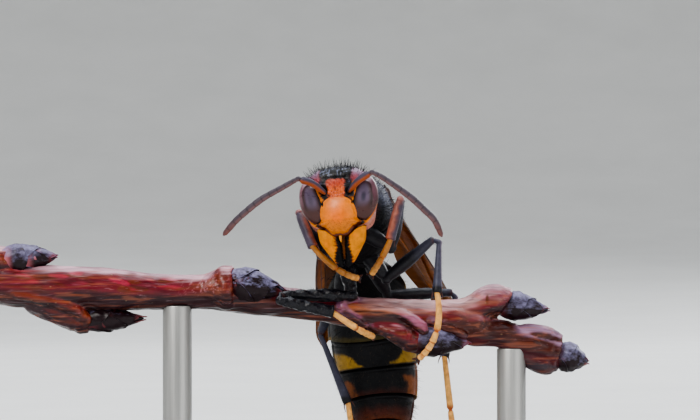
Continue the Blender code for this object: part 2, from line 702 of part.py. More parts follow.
def knee_ends(hip, knee, ankle):
    """Where the thigh ends and where the shin starts, side by side at a sharp knee."""
    back = (hip - knee).normalized()
    down = (ankle - knee).normalized()
    apart = (down - back).normalized()
    fold = back.dot(down)
    offset = (KNEE_RADIUS + TIBIA_ROOT_RADIUS + GAP) / 2 * (0.56 + 0.42 * fold)
    return knee - apart * max(offset, 0.12), knee + apart * max(offset, 0.12)


def femur_route(name):
    hip, fork, knee, ankle = (Vector(point) for point in LEGS[name][:4])
    end, _ = knee_ends(fork, knee, ankle)
    inside = thorax_spine().at(3.0)[2] * 0.9
    middle = fork.lerp(end, 0.45)
    return rounded(smooth_route([
        (hip + inside, COXA_RADIUS), (hip, COXA_RADIUS), (hip.lerp(fork, 0.55), COXA_RADIUS * 0.85),
        (fork, 0.33), (fork.lerp(end, 0.15), 0.36), (middle, FEMUR_RADIUS),
        (fork.lerp(end, 0.85), 0.33), (end, KNEE_RADIUS)], 2))


def tibia_route(name):
    _, fork, knee, ankle = (Vector(point) for point in LEGS[name][:4])
    _, start = knee_ends(fork, knee, ankle)
    return rounded(smooth_route([
        (start, TIBIA_ROOT_RADIUS), (start.lerp(ankle, 0.15), 0.28), (start.lerp(ankle, 0.5), TIBIA_RADIUS),
        (start.lerp(ankle, 0.9), TIBIA_RADIUS * 0.95), (ankle, 0.3)], 2))


def foot_point(name, share):
    """A point of the foot's bend, from ankle to claw."""
    ankle, bend, claw = (Vector(point) for point in LEGS[name][3:6])
    return ankle * (1 - share) ** 2 + bend * 2 * share * (1 - share) + claw * share**2


def tarsus_shape(name):
    """Five joints that each widen to their end, and a pair of claws."""
    ankle, bend, claw = (Vector(point) for point in LEGS[name][3:6])
    leave = (bend - ankle).normalized()
    route = [(ankle + leave * GAP * 1.6, TARSUS_RADIUS * 0.8)]
    for i, (start, end) in enumerate(zip(TARSUS_SHARES, TARSUS_SHARES[1:])):
        if i:
            route.append((foot_point(name, start + (end - start) * 0.2), TARSUS_RADIUS * 0.8))
        else:
            route.append((foot_point(name, 0.25), TARSUS_RADIUS * 0.9))
        route.append((foot_point(name, end - (end - start) * 0.12), TARSUS_RADIUS))
    toe = foot_point(name, 1.0)
    route.append((toe, TARSUS_RADIUS * 0.6))
    ahead = (toe - foot_point(name, 0.9)).normalized()
    aside = ahead.cross(Vector((0, 1, 0)))
    aside = (aside if aside.length > 0.3 else ahead.cross(Vector((1, 0, 0)))).normalized()
    claws = []
    for side in (1, -1):
        spread = aside * side
        claws.append(tube([
            (toe - ahead * 0.15, CLAW_RADIUS),
            (toe + ahead * CLAW_LENGTH * 0.4 + spread * CLAW_LENGTH * 0.45, CLAW_RADIUS),
            (toe + ahead * CLAW_LENGTH + spread * CLAW_LENGTH * 0.6, CLAW_RADIUS * 0.35)], 6))
    return combine(tube(route), claws, "UNION")


def make_legs(model):
    for name in LEGS:
        yellow = "chitin_yellow"
        femur = combine(tube(femur_route(name)), [whole_thorax(ROOT_GAP)], "DIFFERENCE")
        add_node(model, f"leg_{name}_femur", femur, "chitin_black")
        shin = "chitin_orange" if name.startswith("fore") else "chitin_black"
        add_node(model, f"leg_{name}_tibia", tube(tibia_route(name)), shin)
        add_node(model, f"leg_{name}_tarsus", tarsus_shape(name), yellow)


# Twig, buds and stand


def twig_shape(grow=0.0):
    """The twig with its swollen leaf scars."""
    knots = [(Vector(point), radius) for point, radius in zip(TWIG_AXIS, TWIG_RADII)]
    route = rounded(smooth_route(knots, 2), 0.25)
    swellings = []
    for line in SHOULDERS:
        knots = [(Vector(point), radius) for point, radius in line]
        swellings.append(tube(knots, 10, grow))
    return combine(tube(route, TWIG_SIDES, grow), swellings, "UNION")


def shoot_shape(name, grow=0.0):
    knots = [(Vector(point), radius) for point, radius in SHOOTS[name]]
    return tube(rounded(smooth_route(knots, 2), 0.2), 10, grow)


def bud_shape(name):
    """A pointed bud, widest near its root, its scales standing out as steps."""
    root, tip, radius = BUDS[name]
    root, tip = Vector(root), Vector(tip)
    route = []
    for share, swell in ((-0.12, 0.75), (0.0, 0.86), (0.15, 1.0), (0.3, 1.0), (0.34, 0.9), (0.5, 0.86),
                         (0.64, 0.7), (0.68, 0.6), (0.85, 0.36), (1.0, 0.1)):
        route.append((root.lerp(tip, share), radius * swell))
    return tube(route, 10)


def make_twig(model):
    add_node(model, "twig", twig_shape(), "bark_red")
    for name in SHOOTS:
        others = [twig_shape(GAP)]
        if name == "twig_upper_shoot":
            others.append(shoot_shape("twig_lower_shoot", GAP))
        add_node(model, name, combine(shoot_shape(name), others, "DIFFERENCE"), "bark_red")
    for name in BUDS:
        others = [twig_shape(GAP)] + [shoot_shape(shoot, GAP) for shoot in SHOOTS]
        add_node(model, name, combine(bud_shape(name), others, "DIFFERENCE"), "bud_violet")


def make_stand(model):
    shape = bmesh.new()
    bmesh.ops.create_cube(shape, size=1.0)
    bmesh.ops.scale(shape, vec=BASE_SIZE, verts=shape.verts)
    edges = shape.verts[:] + shape.edges[:]
    bmesh.ops.bevel(shape, geom=edges, offset=BASE_EDGE, segments=2, profile=0.5, affect="EDGES")
    floor = -TWIG_HEIGHT
    middle = Vector((-TWIG_SHIFT[0], -TWIG_SHIFT[1], floor + BASE_SIZE[2] / 2))
    bmesh.ops.translate(shape, vec=middle, verts=shape.verts)
    add_node(model, "stand_base", shape, "stand_grey")
    foot = floor + BASE_SIZE[2] + GAP
    for name, (x, y, top) in RODS.items():
        rod = bmesh.new()
        bmesh.ops.create_cone(
            rod, cap_ends=True, segments=20, radius1=ROD_RADIUS, radius2=ROD_RADIUS, depth=top - foot)
        bmesh.ops.translate(rod, vec=(x, y, (foot + top) / 2), verts=rod.verts)
        others = [twig_shape(GAP)] + [shoot_shape(shoot, GAP) for shoot in SHOOTS]
        add_node(model, name, combine(rod, others, "DIFFERENCE"), "stand_grey")


# The whole model


def clear_scene():
    for item in list(bpy.data.objects):
        bpy.data.objects.remove(item, do_unlink=True)


def make_finishes():
    made = {}
    for name, (colour, roughness, metallic) in FINISHES.items():
        finish = bpy.data.materials.new(name)
        finish.use_nodes = True
        shader = finish.node_tree.nodes["Principled BSDF"]
        shader.inputs["Base Color"].default_value = (*colour, 1.0)
        shader.inputs["Roughness"].default_value = roughness
        shader.inputs["Metallic"].default_value = metallic
        made[name] = finish
    return made


def main():
    clear_scene()
    collection = bpy.data.collections.new("asian_hornet")
    bpy.context.scene.collection.children.link(collection)
    frame = bpy.data.objects.new("twig_frame", None)
    frame.location = (TWIG_SHIFT[0] * MM, TWIG_SHIFT[1] * MM, TWIG_HEIGHT * MM)
    collection.objects.link(frame)
    model = {"collection": collection, "frame": frame, "finishes": make_finishes()}
    make_head(model)
    make_antennae(model)
    make_thorax(model)
    make_abdomen(model)
    make_wings(model)
    make_legs(model)
    make_twig(model)
    make_stand(model)


main()
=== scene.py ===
"""Dresses the Asian hornet display model: skins, plates, hairs, wings, bark, buds, stand, light and camera.

Lengths are millimetres in the twig's frame: +X is the hornet's left, -Y the way it faces and +Z is up.
"""
import math

import bmesh
import bpy
import numpy as np
from bpy.props import FloatProperty, FloatVectorProperty, IntProperty, PointerProperty
from mathutils import Matrix


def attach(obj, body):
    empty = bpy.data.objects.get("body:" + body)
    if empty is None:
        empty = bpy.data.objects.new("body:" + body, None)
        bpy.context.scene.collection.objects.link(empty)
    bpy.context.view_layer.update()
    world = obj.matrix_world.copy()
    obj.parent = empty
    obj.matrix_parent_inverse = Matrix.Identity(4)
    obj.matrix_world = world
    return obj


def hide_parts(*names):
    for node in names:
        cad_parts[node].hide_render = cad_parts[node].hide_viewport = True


bl_info = {
    "name": "Hornet on a twig",
    "version": (1, 0, 0),
    "blender": (4, 5, 0),
    "location": "View3D > Sidebar > Hornet",
    "description": "Dresses a display model of an Asian hornet that grips a budding twig",
    "category": "Object",
}

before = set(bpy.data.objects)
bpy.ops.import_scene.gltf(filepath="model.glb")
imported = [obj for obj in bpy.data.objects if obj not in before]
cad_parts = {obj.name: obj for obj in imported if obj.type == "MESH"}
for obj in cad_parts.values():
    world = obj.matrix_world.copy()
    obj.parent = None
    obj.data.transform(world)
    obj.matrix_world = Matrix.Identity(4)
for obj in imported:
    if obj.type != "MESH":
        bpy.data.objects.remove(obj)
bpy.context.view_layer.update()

# Scale and the twig's frame in the model's
MM = 0.001
TWIG_PLACE = np.array((3.8, -6.1, 16.5))
RIGHT, LEFT = -1, 1
SIDES = {"left": LEFT, "right": RIGHT}

# Camera: how far it stands from the twig, its height there, and what one pixel spans
CAMERA_PLACE = (0.0, -220.0, 5.517)
PIXEL = 0.0613
IMAGE_WIDTH = 700
SENSOR_WIDTH = 36.0

# Head, in its own frame: +X its left, -Y out of the face, +Z its crown
HEAD_PLACE = (-0.58, -1.95, 5.76)
HEAD_TURN = (math.radians(4), math.radians(-5), math.radians(-9))
HEAD_HALF_WIDTH, HEAD_HALF_HEIGHT, HEAD_LIFT = 2.28, 2.06, 0.28
HEAD_FRONT, HEAD_BACK, FACE_FLATNESS = 1.18, 1.0, 0.75
CROWN_SQUARENESS = 0.78  # below 1 the crown's corners fill out
EYE_MIDDLE, EYE_INNER, EYE_OUTER, EYE_RISE = (66.5, 3.2), 38.5, 28.0, 39.5
EYE_LEAN = 0.3  # how far round the eye leans for each degree up
EYE_NOTCHES = ((0.24, 112.0, 17.0), (0.24, -38.0, 32.0))  # depth as a share, direction and spread
CLYPEUS_OUTLINE = [
    (0.0, 0.68), (0.45, 0.63), (0.82, 0.41), (1.04, 0.05), (1.13, -0.4), (1.13, -0.76), (1.37, -0.98),
    (1.22, -1.17), (1.02, -1.24), (0.8, -1.48), (0.57, -1.69), (0.3, -1.77), (0.0, -1.74),
]
CLYPEUS_MIDDLE = -0.6
CLYPEUS_FRONT, CLYPEUS_DOME, CLYPEUS_BACK = 1.2, 0.42, 0.78
MANDIBLE_STATIONS = [  # height, outer edge, inner edge and half thickness
    (1.68, 1.53, 0.12, 0.34), (2.1, 1.4, 0.1, 0.39), (2.58, 1.12, 0.1, 0.36), (3.0, 0.85, 0.1, 0.31),
    (3.37, 0.6, 0.09, 0.24), (3.64, 0.38, 0.08, 0.1),
]
MANDIBLE_PLACE, MANDIBLE_SHIFT = -0.86, 0.09
JAW_TEETH = ((2.42, 0.05), (2.66, 0.07), (2.9, 0.09), (3.12, 0.11), (3.34, 0.12))  # how far down, and size
OCELLI = ((0.0, -0.62, 1.98, 0.13), (-0.3, -0.3, 2.22, 0.12), (0.3, -0.3, 2.22, 0.12))  # place and radius

# Antennae, in the twig's frame
SCAPES = {
    "left": [(0.0, -3.05, 6.72), (0.5, -3.45, 7.28), (1.2, -3.62, 7.76)],
    "right": [(-1.6, -3.1, 6.62), (-2.3, -3.52, 7.13), (-3.02, -3.7, 7.36)],
}
FLAGELLA = {
    "left": [(1.4, -3.7, 7.76), (1.95, -3.78, 7.48), (2.9, -3.9, 6.84), (3.75, -3.95, 6.2),
             (4.5, -3.88, 5.5), (5.1, -3.77, 4.88), (5.55, -3.5, 3.9)],
    "right": [(-3.2, -3.72, 7.36), (-4.1, -3.85, 6.86), (-5.3, -4.0, 6.18), (-6.24, -4.0, 5.44),
              (-6.92, -3.9, 4.82), (-7.64, -3.7, 3.98)],
}
FLAGELLUM_RINGS = 11

# Thorax and abdomen: axis, then place, half width and half height along it
NECK, WAIST = (-0.12, -0.45, 6.43), (0.62, 5.0, 2.75)
THORAX_STATIONS = [
    (-0.7, 0.55, 0.55), (0.0, 0.8, 0.85), (0.35, 1.5, 1.4), (0.9, 2.05, 1.95), (1.6, 2.35, 2.35),
    (2.4, 2.5, 2.55), (3.3, 2.48, 2.55), (4.2, 2.25, 2.35), (5.0, 1.95, 2.05), (5.8, 1.5, 1.55),
    (6.3, 0.95, 1.0), (6.6, 0.6, 0.62),
]
COLLAR_BACK = (1.3, 2.35, 1.5)  # the pronotum's hind edge along the axis: above, beside and below
PLEURA_BACK = (4.5, 4.7, 4.1)  # the same for the mesothorax
ABDOMEN_AXIS = [
    (0.62, 5.0, 2.75), (0.78, 5.85, 2.1), (0.92, 6.9, 1.1), (1.14, 7.8, -0.32), (1.4, 8.3, -1.99),
    (1.66, 8.5, -3.91), (1.88, 8.3, -5.81), (2.03, 7.8, -7.56), (2.12, 7.1, -9.1), (2.16, 6.4, -10.4),
]
ABDOMEN_STATIONS = [
    (0.0, 0.4, 0.4), (0.9, 0.45, 0.5), (1.3, 0.95, 0.95), (1.9, 1.6, 1.5), (2.8, 2.2, 2.05),
    (4.2, 2.6, 2.4), (6.2, 2.75, 2.5), (8.2, 2.65, 2.42), (10.2, 2.35, 2.15), (12.0, 1.85, 1.7),
    (13.4, 1.2, 1.15), (14.3, 0.6, 0.6), (14.9, 0.12, 0.12),
]
SEGMENT_ENDS = [1.05, 3.5, 6.3, 8.6, 10.7, 12.5, 14.9]
SEGMENT_SLOTS = ("chitin_black",) * 3 + ("chitin_orange", "chitin_brown", "chitin_brown")

# Wings: root on the thorax as length along, aside and above
WING_ROOT = (2.1, 1.95, 1.62)
WING_SPREAD, WING_ROLL = {"left": math.radians(13.0), "right": math.radians(6.5)}, math.radians(38.0)
WING_CROWN, WING_SAG = 0.35, 0.0012
WINGS = {
    "forewing": {"length": 17.2, "chord": 3.1, "below": 0.0},
    "hindwing": {"length": 11.8, "chord": 2.1, "below": 1.0},
}
TEGULA_PLACE, TEGULA_SIZE = (2.5, 1.98, 1.62), (0.4, 0.62, 0.2)  # the scale over a wing's root

# Legs: hip, hip's end, knee, ankle, foot's bend and claw
LEGS = {
    "fore_left": [(0.61, -0.2, 4.41), (2.5, -0.5, 3.2), (3.1, -1.3, 6.15), (2.44, -2.0, 3.7),
                  (2.07, -1.75, 2.7), (1.32, -0.5, 1.6)],
    "fore_right": [(-0.49, -0.2, 4.41), (-1.75, -0.75, 2.8), (-3.02, -0.4, 5.25), (-2.25, -2.1, 3.27),
                   (-0.75, -1.85, 1.6), (0.5, -0.6, 1.35)],
    "mid_left": [(1.05, 1.6, 2.86), (2.25, 1.25, 1.27), (5.28, 0.2, 3.61), (5.32, -0.75, 0.45),
                 (5.8, -1.05, -2.25), (4.2, -0.15, -3.62)],
    "mid_right": [(-0.37, 1.5, 2.86), (0.15, 0.15, 0.3), (-4.27, -1.0, 0.15), (-0.98, -1.05, -0.78),
                  (0.6, -1.3, -1.9), (1.42, 0.5, -2.25)],
    "hind_left": [(1.37, 3.2, 2.22), (2.37, 3.5, 0.2), (6.45, 4.6, 0.2), (5.88, 3.4, -3.63),
                  (6.3, 3.2, -7.2), (6.54, 3.4, -9.73)],
    "hind_right": [(-0.12, 3.4, 2.22), (-0.75, 4.0, 0.4), (-1.85, 6.2, -2.3), (-0.13, 5.6, -6.63),
                   (0.35, 4.9, -9.9), (0.63, 4.9, -12.0)],
}
COXA_RADIUS, FEMUR_RADIUS, KNEE_RADIUS = 0.55, 0.38, 0.25
TIBIA_RADIUS, TIBIA_ROOT_RADIUS, TARSUS_RADIUS = 0.31, 0.24, 0.21
TARSUS_SHARES = (0.0, 0.5, 0.67, 0.8, 0.9, 1.0)
KNEE_GAP = 0.15
WET_LEG, SLIM_LEGS = "mid_right", ("mid_left", "hind_left", "hind_right")

# Twig: axis and radius, swollen leaf scars, ridges, shoots and buds
TWIG_AXIS = [
    (-22.3, -0.3, 0.95), (-18.4, -0.1, 0.76), (-14.7, 0.1, 0.64), (-12.3, 0.25, 0.52),
    (-9.2, 0.45, 0.5), (-7.2, 0.55, 0.45), (-5.4, 0.65, 0.05), (-3.1, 0.8, -0.27), (-0.9, 0.95, -0.6),
    (0.6, 1.1, -0.84), (3.1, 1.3, -1.1), (5.6, 1.6, -1.22), (7.7, 1.95, -1.35), (8.6, 2.1, -1.35),
]
TWIG_RADII = [1.15, 1.35, 1.3, 1.12, 1.05, 1.2, 1.05, 0.9, 0.93, 1.0, 1.1, 1.13, 1.05, 0.6]


# Numbers and colours

ROUGH_WAVES = 8  # sine waves summed for unevenness
AXIS_STEPS = 30  # points between two knots of an axis


def linear(red, green, blue):
    """A screen colour of 0 to 255 as the linear colour that shaders take."""
    return tuple(
        share / 12.92 if share <= 0.04045 else ((share + 0.055) / 1.055) ** 2.4
        for share in (red / 255, green / 255, blue / 255)
    )


def fade(value, start, end):
    """0 before start, 1 after end, smooth between them."""
    share = np.clip((value - start) / (end - start), 0.0, 1.0)
    return share * share * (3 - 2 * share)


def hump(value, middle, width):
    return np.exp(-(((value - middle) / width) ** 2))


def mix(base, colour, share):
    """Lays a colour over an array of colours, by a share or an array of shares."""
    share = np.asarray(share, float)[..., None]
    return base * (1 - share) + np.array(colour) * share


def flat_colour(shape, colour):
    return np.ones((*shape, 1)) * np.array(colour)


def rough(points, size, seed):
    """Smooth unevenness from -1 to 1 over points, its patches about as large as size."""
    draw = np.random.default_rng(seed)
    total = np.zeros(points.shape[:-1])
    for _ in range(ROUGH_WAVES):
        way = draw.normal(size=3)
        way /= np.linalg.norm(way)
        total += np.sin(points @ way * math.tau / size * draw.uniform(0.6, 1.5) + draw.uniform(0, math.tau))
    return total / ROUGH_WAVES**0.5 / 1.4


def unit(vectors):
    return vectors / np.maximum(np.linalg.norm(vectors, axis=-1, keepdims=True), 1e-9)


# Curves


def smooth_path(knots, per_span):
    """A smooth curve through knots, each a row of any numbers."""
    knots = np.array(knots, float)
    ends = np.vstack([2 * knots[0] - knots[1], knots, 2 * knots[-1] - knots[-2]])
    t = (np.arange(per_span) / per_span)[:, None]
    spans = []
    for i in range(len(knots) - 1):
        before, start, end, after = ends[i : i + 4]
        pull, push = (end - before) / 2, (after - start) / 2
        spans.append(start * (2 * t**3 - 3 * t**2 + 1) + pull * (t**3 - 2 * t**2 + t)
                     + end * (3 * t**2 - 2 * t**3) + push * (t**3 - t**2))
    return np.vstack(spans + [knots[-1:]])


def curve_at(stations, place):
    """The numbers of a row of stations at places given by each station's first number."""
    stations = np.array(stations, float)
    xs, ys = stations[:, 0], stations[:, 1:]
    slopes = np.gradient(ys, xs, axis=0)
    x = np.clip(place, xs[0], xs[-1])
    i = np.clip(np.searchsorted(xs, x) - 1, 0, len(xs) - 2)
    span = xs[i + 1] - xs[i]
    t = ((x - xs[i]) / span)[..., None]
    span = span[..., None]
    value = (ys[i] * (2 * t**3 - 3 * t**2 + 1) + slopes[i] * span * (t**3 - 2 * t**2 + t)
             + ys[i + 1] * (3 * t**2 - 2 * t**3) + slopes[i + 1] * span * (t**3 - t**2))
    return np.moveaxis(value, -1, 0)


class Axis:
    """A smooth line with a place, and the directions ahead, aside and above, at any length along it."""

    def __init__(self, knots, aside=(1, 0, 0)):
        self.points = smooth_path(knots, AXIS_STEPS)
        steps = np.linalg.norm(np.diff(self.points, axis=0), axis=1)
        self.lengths = np.concatenate([[0.0], np.cumsum(steps)])
        self.ways = unit(np.gradient(self.points, axis=0))
        self.side = np.array(aside, float)
        self.whole = self.lengths[-1]

    def at(self, length):
        length = np.asarray(length, float)
        inside = np.clip(length, 0, self.whole)
        place = np.stack([np.interp(inside, self.lengths, self.points[:, k]) for k in range(3)], -1)
        ahead = unit(np.stack([np.interp(inside, self.lengths, self.ways[:, k]) for k in range(3)], -1))
        place = place + ahead * (length - inside)[..., None]
        aside = unit(self.side - ahead * (ahead @ self.side)[..., None])
        return place, ahead, aside, np.cross(aside, ahead)


def turns_of(count):
    return np.arange(count) * math.tau / count


def carried_frames(points):
    """Directions aside and above along a path, carried from point to point without twist."""
    ways = unit(np.gradient(points, axis=0))
    side = np.array((1.0, 0.0, 0.0) if abs(ways[0][1]) > 0.9 else (0.0, 1.0, 0.0))
    asides = []
    for way in ways:
        side = side - way * (way @ side)
        side = side / np.linalg.norm(side)
        asides.append(side.copy())
    asides = np.array(asides)
    return asides, np.cross(ways, asides)


def tube(points, radii, sides, flat=1.0):
    """Rings of points round a path; flat narrows them one way."""
    aside, above = carried_frames(points)
    turn = turns_of(sides)
    radii = np.asarray(radii)[:, None, None]
    return (points[:, None] + radii * flat * aside[:, None] * np.cos(turn)[None, :, None]
            + radii * above[:, None] * np.sin(turn)[None, :, None])


def rope(knots, per_span, sides, flat=1.0):
    """Rings round a smooth line through knots, each a place and a radius in one row."""
    path = smooth_path(knots, per_span)
    return tube(path[:, :3], path[:, 3], sides, flat)


def limb(knots, per_span, sides):
    """The same through pairs of a place and a radius."""
    return rope([(*place, radius) for place, radius in knots], per_span, sides)


def ball(rows, columns, size):
    """Rings of a ball, or of an egg where size is three half widths."""
    turn, rise = np.meshgrid(turns_of(columns), np.linspace(-1.5, 1.5, rows))
    return np.stack([np.cos(turn) * np.cos(rise), np.sin(turn) * np.cos(rise), np.sin(rise)], -1) * size


def sheet_normals(points, closed):
    """Normals of a grid of points, with its columns closed round or not."""
    down = np.gradient(points, axis=0)
    if closed:
        across = (np.roll(points, -1, axis=1) - np.roll(points, 1, axis=1)) / 2
    else:
        across = np.gradient(points, axis=1)
    return unit(np.cross(across, down))


# Meshes


def ring_faces(rows, columns, first=0):
    """Numbers of the points in rings, of each one's neighbour, and of the faces between the rings."""
    index = first + np.arange(rows * columns).reshape(rows, columns)
    after = np.roll(index, -1, axis=1)
    return index, after, np.stack([index[:-1], after[:-1], after[1:], index[1:]], -1).reshape(-1, 4).tolist()


class Shell:
    """Gathers grids of points into one mesh of closed surfaces with a colour at each point."""

    def __init__(self):
        self.points, self.colours, self.faces = [], [], []
        self.count = 0

    def keep(self, points, colours):
        first = self.count
        self.points.append(points.reshape(-1, 3))
        self.colours.append(colours.reshape(-1, 3))
        self.count += points.reshape(-1, 3).shape[0]
        return first

    def round(self, points, colours):
        """Adds rings, closed at both ends by a fan, in one colour or one at each point."""
        if np.ndim(colours) == 1:
            colours = flat_colour(points.shape[:2], colours)
        index, after, faces = ring_faces(*points.shape[:2], self.keep(points, colours))
        self.faces += faces
        for row in (0, -1):
            tip = self.keep(points[row].mean(0), colours[row].mean(0))
            self.faces += [[a, b, tip] for a, b in zip(index[row].tolist(), after[row].tolist())]
        return self

    def slab(self, points, colours, thickness):
        """Adds a thin sheet with two faces and a rim."""
        rows, columns = points.shape[:2]
        index = np.arange(rows * columns).reshape(rows, columns)
        half = sheet_normals(points, False) * thickness / 2
        top, low = (self.keep(points + half * way, colours) + index for way in (1, -1))
        for face in (top, low):
            quads = np.stack([face[:-1, :-1], face[:-1, 1:], face[1:, 1:], face[1:, :-1]], -1)
            self.faces += quads.reshape(-1, 4).tolist()
        for a, b in ((top[0], low[0]), (top[-1], low[-1]), (top[:, 0], low[:, 0]), (top[:, -1], low[:, -1])):
            self.faces += np.stack([a[:-1], a[1:], b[1:], b[:-1]], -1).tolist()
        return self

    def mesh(self, name):
        made = bpy.data.meshes.new(name)
        points = (np.concatenate(self.points) + TWIG_PLACE) * MM
        made.from_pydata(points.tolist(), [], self.faces)
        shape = bmesh.new()
        shape.from_mesh(made)
        bmesh.ops.recalc_face_normals(shape, faces=shape.faces)
        shape.to_mesh(made)
        shape.free()
        paint(made, np.concatenate(self.colours))
        made.shade_smooth()
        return made


def paint(mesh, colours):
    """Stores a colour at each vertex, for the materials to read."""
    tint = mesh.attributes.new("tint", "FLOAT_COLOR", "POINT")
    values = np.ones((len(mesh.vertices), 4), np.float32)
    values[:, :3] = np.clip(colours, 0, 1)
    tint.data.foreach_set("color", values.ravel())


def show(name, form, style, slot, replaced=(), sharp=None):
    """Puts a shell or a mesh in the scene, rides it on the model and lets it stand for its nodes."""
    mesh = form.mesh(name) if isinstance(form, Shell) else form
    piece = bpy.data.objects.new(name, mesh)
    bpy.context.scene.collection.objects.link(piece)
    mesh.materials.clear()
    mesh.materials.append(finish(style))
    if sharp is not None:
        mesh.set_sharp_from_angle(angle=math.radians(sharp))
    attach(piece, "root")
    if replaced:
        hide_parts(*replaced)
    return piece


# Node trees


def wire(tree, kind, inputs=None, **settings):
    """Adds a node, sets its options, and sets or links its inputs."""
    made = tree.nodes.new(kind)
    made.location = (200 * (len(tree.nodes) % 9), -240 * (len(tree.nodes) // 9))
    for name, value in settings.items():
        setattr(made, name, value)
    for key, value in (inputs or {}).items():
        if isinstance(value, bpy.types.NodeSocket):
            tree.links.new(value, made.inputs[key])
        else:
            made.inputs[key].default_value = value
    return made


def new_material(name):
    material = bpy.data.materials.new(name)
    material.use_nodes = True
    tree = material.node_tree
    return material, tree, tree.nodes["Principled BSDF"]


def noise_at(tree, scale, detail=3.0, stretch=(1, 1, 1), roughness=0.5):
    """Noise on the object's own coordinates, in patches per metre."""
    place = wire(tree, "ShaderNodeMapping", {"Vector": object_place(tree), "Scale": stretch}).outputs["Vector"]
    return wire(tree, "ShaderNodeTexNoise", {
        "Vector": place, "Scale": scale, "Detail": detail, "Roughness": roughness}).outputs["Fac"]


def ramp(tree, value, start, end, low=0.0, high=1.0):
    return wire(tree, "ShaderNodeMapRange", {
        "Value": value, "From Min": start, "From Max": end, "To Min": low, "To Max": high}).outputs["Result"]


def blend(tree, first, second, share, way="MIX"):
    made = wire(tree, "ShaderNodeMix", data_type="RGBA", blend_type=way)
    for socket, value in zip([made.inputs[6], made.inputs[7], made.inputs[0]], (first, second, share)):
        if isinstance(value, bpy.types.NodeSocket):
            tree.links.new(value, socket)
        else:
            socket.default_value = (*value, 1.0) if isinstance(value, tuple) else value
    return made.outputs[2]


def painted(tree):
    """The colour stored at each vertex."""
    return wire(tree, "ShaderNodeAttribute", attribute_name="tint").outputs["Color"]


def object_place(tree):
    return wire(tree, "ShaderNodeTexCoord").outputs["Object"]


def mottled(tree, shader, colour, cloud, low, high):
    """Gives a shader a colour, darkened and lightened by a noise from low to high."""
    shade = ramp(tree, cloud, 0.3, 0.7, low, high)
    grey = wire(tree, "ShaderNodeCombineColor", {"Red": shade, "Green": shade, "Blue": shade}).outputs[0]
    tree.links.new(blend(tree, colour, grey, 1.0, "MULTIPLY"), shader.inputs["Base Color"])


def settle(node, values):
    """Sets a node's own sockets, which nothing is linked to."""
    for name, value in values.items():
        node.inputs[name].default_value = value


def polish(tree, shader, grain, low, high, gloss):
    """Gives a shader a roughness that follows a noise from low to high, and its plain numbers by name."""
    tree.links.new(ramp(tree, grain, 0.3, 0.7, low, high), shader.inputs["Roughness"])
    settle(shader, gloss)


def bump(tree, shader, heights):
    """Chains bumps, each a height, a distance in metres and a strength, into a shader's normal."""
    normal = None
    for height, distance, strength in heights:
        inputs = {"Height": height, "Distance": distance, "Strength": strength}
        if normal is not None:
            inputs["Normal"] = normal
        normal = wire(tree, "ShaderNodeBump", inputs).outputs["Normal"]
    tree.links.new(normal, shader.inputs["Normal"])


def chitin(name, roughness, pit_size, pit_depth, coat=0.2, sheen=0.0, mottle=0.25, shine=0.3):
    """Insect cuticle in the mesh's own colours: mottled, finely pitted and more or less shiny."""
    material, tree, shader = new_material(name)
    tint = painted(tree)
    cloud = noise_at(tree, 3500.0, 4.0)
    grain = noise_at(tree, 26000.0, 3.0)
    mottled(tree, shader, tint, cloud, 1 - mottle, 1 + mottle * 0.6)
    polish(tree, shader, grain, roughness - 0.08, roughness + 0.1, {
        "Coat Weight": coat, "Coat Roughness": 0.18, "Sheen Weight": sheen, "Sheen Roughness": 0.4,
        "Sheen Tint": (0.75, 0.72, 0.85, 1.0), "Specular IOR Level": shine})
    pits = wire(tree, "ShaderNodeTexVoronoi", {"Vector": object_place(tree), "Scale": 1000 / pit_size},
                feature="SMOOTH_F1").outputs["Distance"]
    bump(tree, shader, [(ramp(tree, pits, 0.05, 0.4), pit_depth * MM, 0.8), (grain, pit_depth * MM, 0.5)])
    return material


# Settings


def colour_setting(name, text, red, green, blue):
    return FloatVectorProperty(
        name=name, description=text, subtype="COLOR", size=3, min=0.0, max=1.0, default=linear(red, green, blue))


def length_setting(name, text, default, largest):
    return FloatProperty(
        name=name, description=text, default=default * MM, min=0.0, max=largest * MM, subtype="DISTANCE",
        unit="LENGTH", precision=6)


class HornetColours(bpy.types.PropertyGroup):
    """Colours of the hornet's own plates."""

    black: colour_setting("Black", "Thorax, crown and most of the abdomen", 13, 13, 17)
    face: colour_setting("Face", "Middle of the clypeus", 238, 114, 0)
    cheek: colour_setting("Cheek", "Edge of the clypeus and the strip beside the eyes", 232, 130, 6)
    brow: colour_setting("Brow", "Patch between the antennae", 186, 72, 44)
    temple: colour_setting("Temple", "Head behind the eyes", 176, 84, 72)
    jaw: colour_setting("Jaw", "Mandibles", 208, 128, 30)
    tooth: colour_setting("Tooth", "Edges and teeth of the mandibles", 5, 4, 6)
    eye: colour_setting("Eye", "Compound eyes", 54, 26, 28)
    scape: colour_setting("Scape", "Underside of the antennae's stalks", 152, 70, 22)
    feeler: colour_setting("Feeler", "Antennae beyond the stalk", 112, 92, 98)
    band: colour_setting("Band", "Yellow bands of the abdomen", 160, 124, 44)
    saddle: colour_setting("Saddle", "Fourth segment of the abdomen", 128, 70, 30)
    rear: colour_setting("Rear", "Last segments of the abdomen", 74, 30, 18)
    shin: colour_setting("Shin", "Inner side of the fore shins", 136, 76, 62)
    foot: colour_setting("Foot", "Feet", 238, 176, 100)
    joint: colour_setting("Joint", "Rings between the feet's joints", 170, 70, 26)
    wing: colour_setting("Wing", "Wing membrane", 178, 104, 34)
    vein: colour_setting("Vein", "Wing veins", 66, 32, 12)
    hair: colour_setting("Hair", "Hairs on black plates", 20, 17, 22)


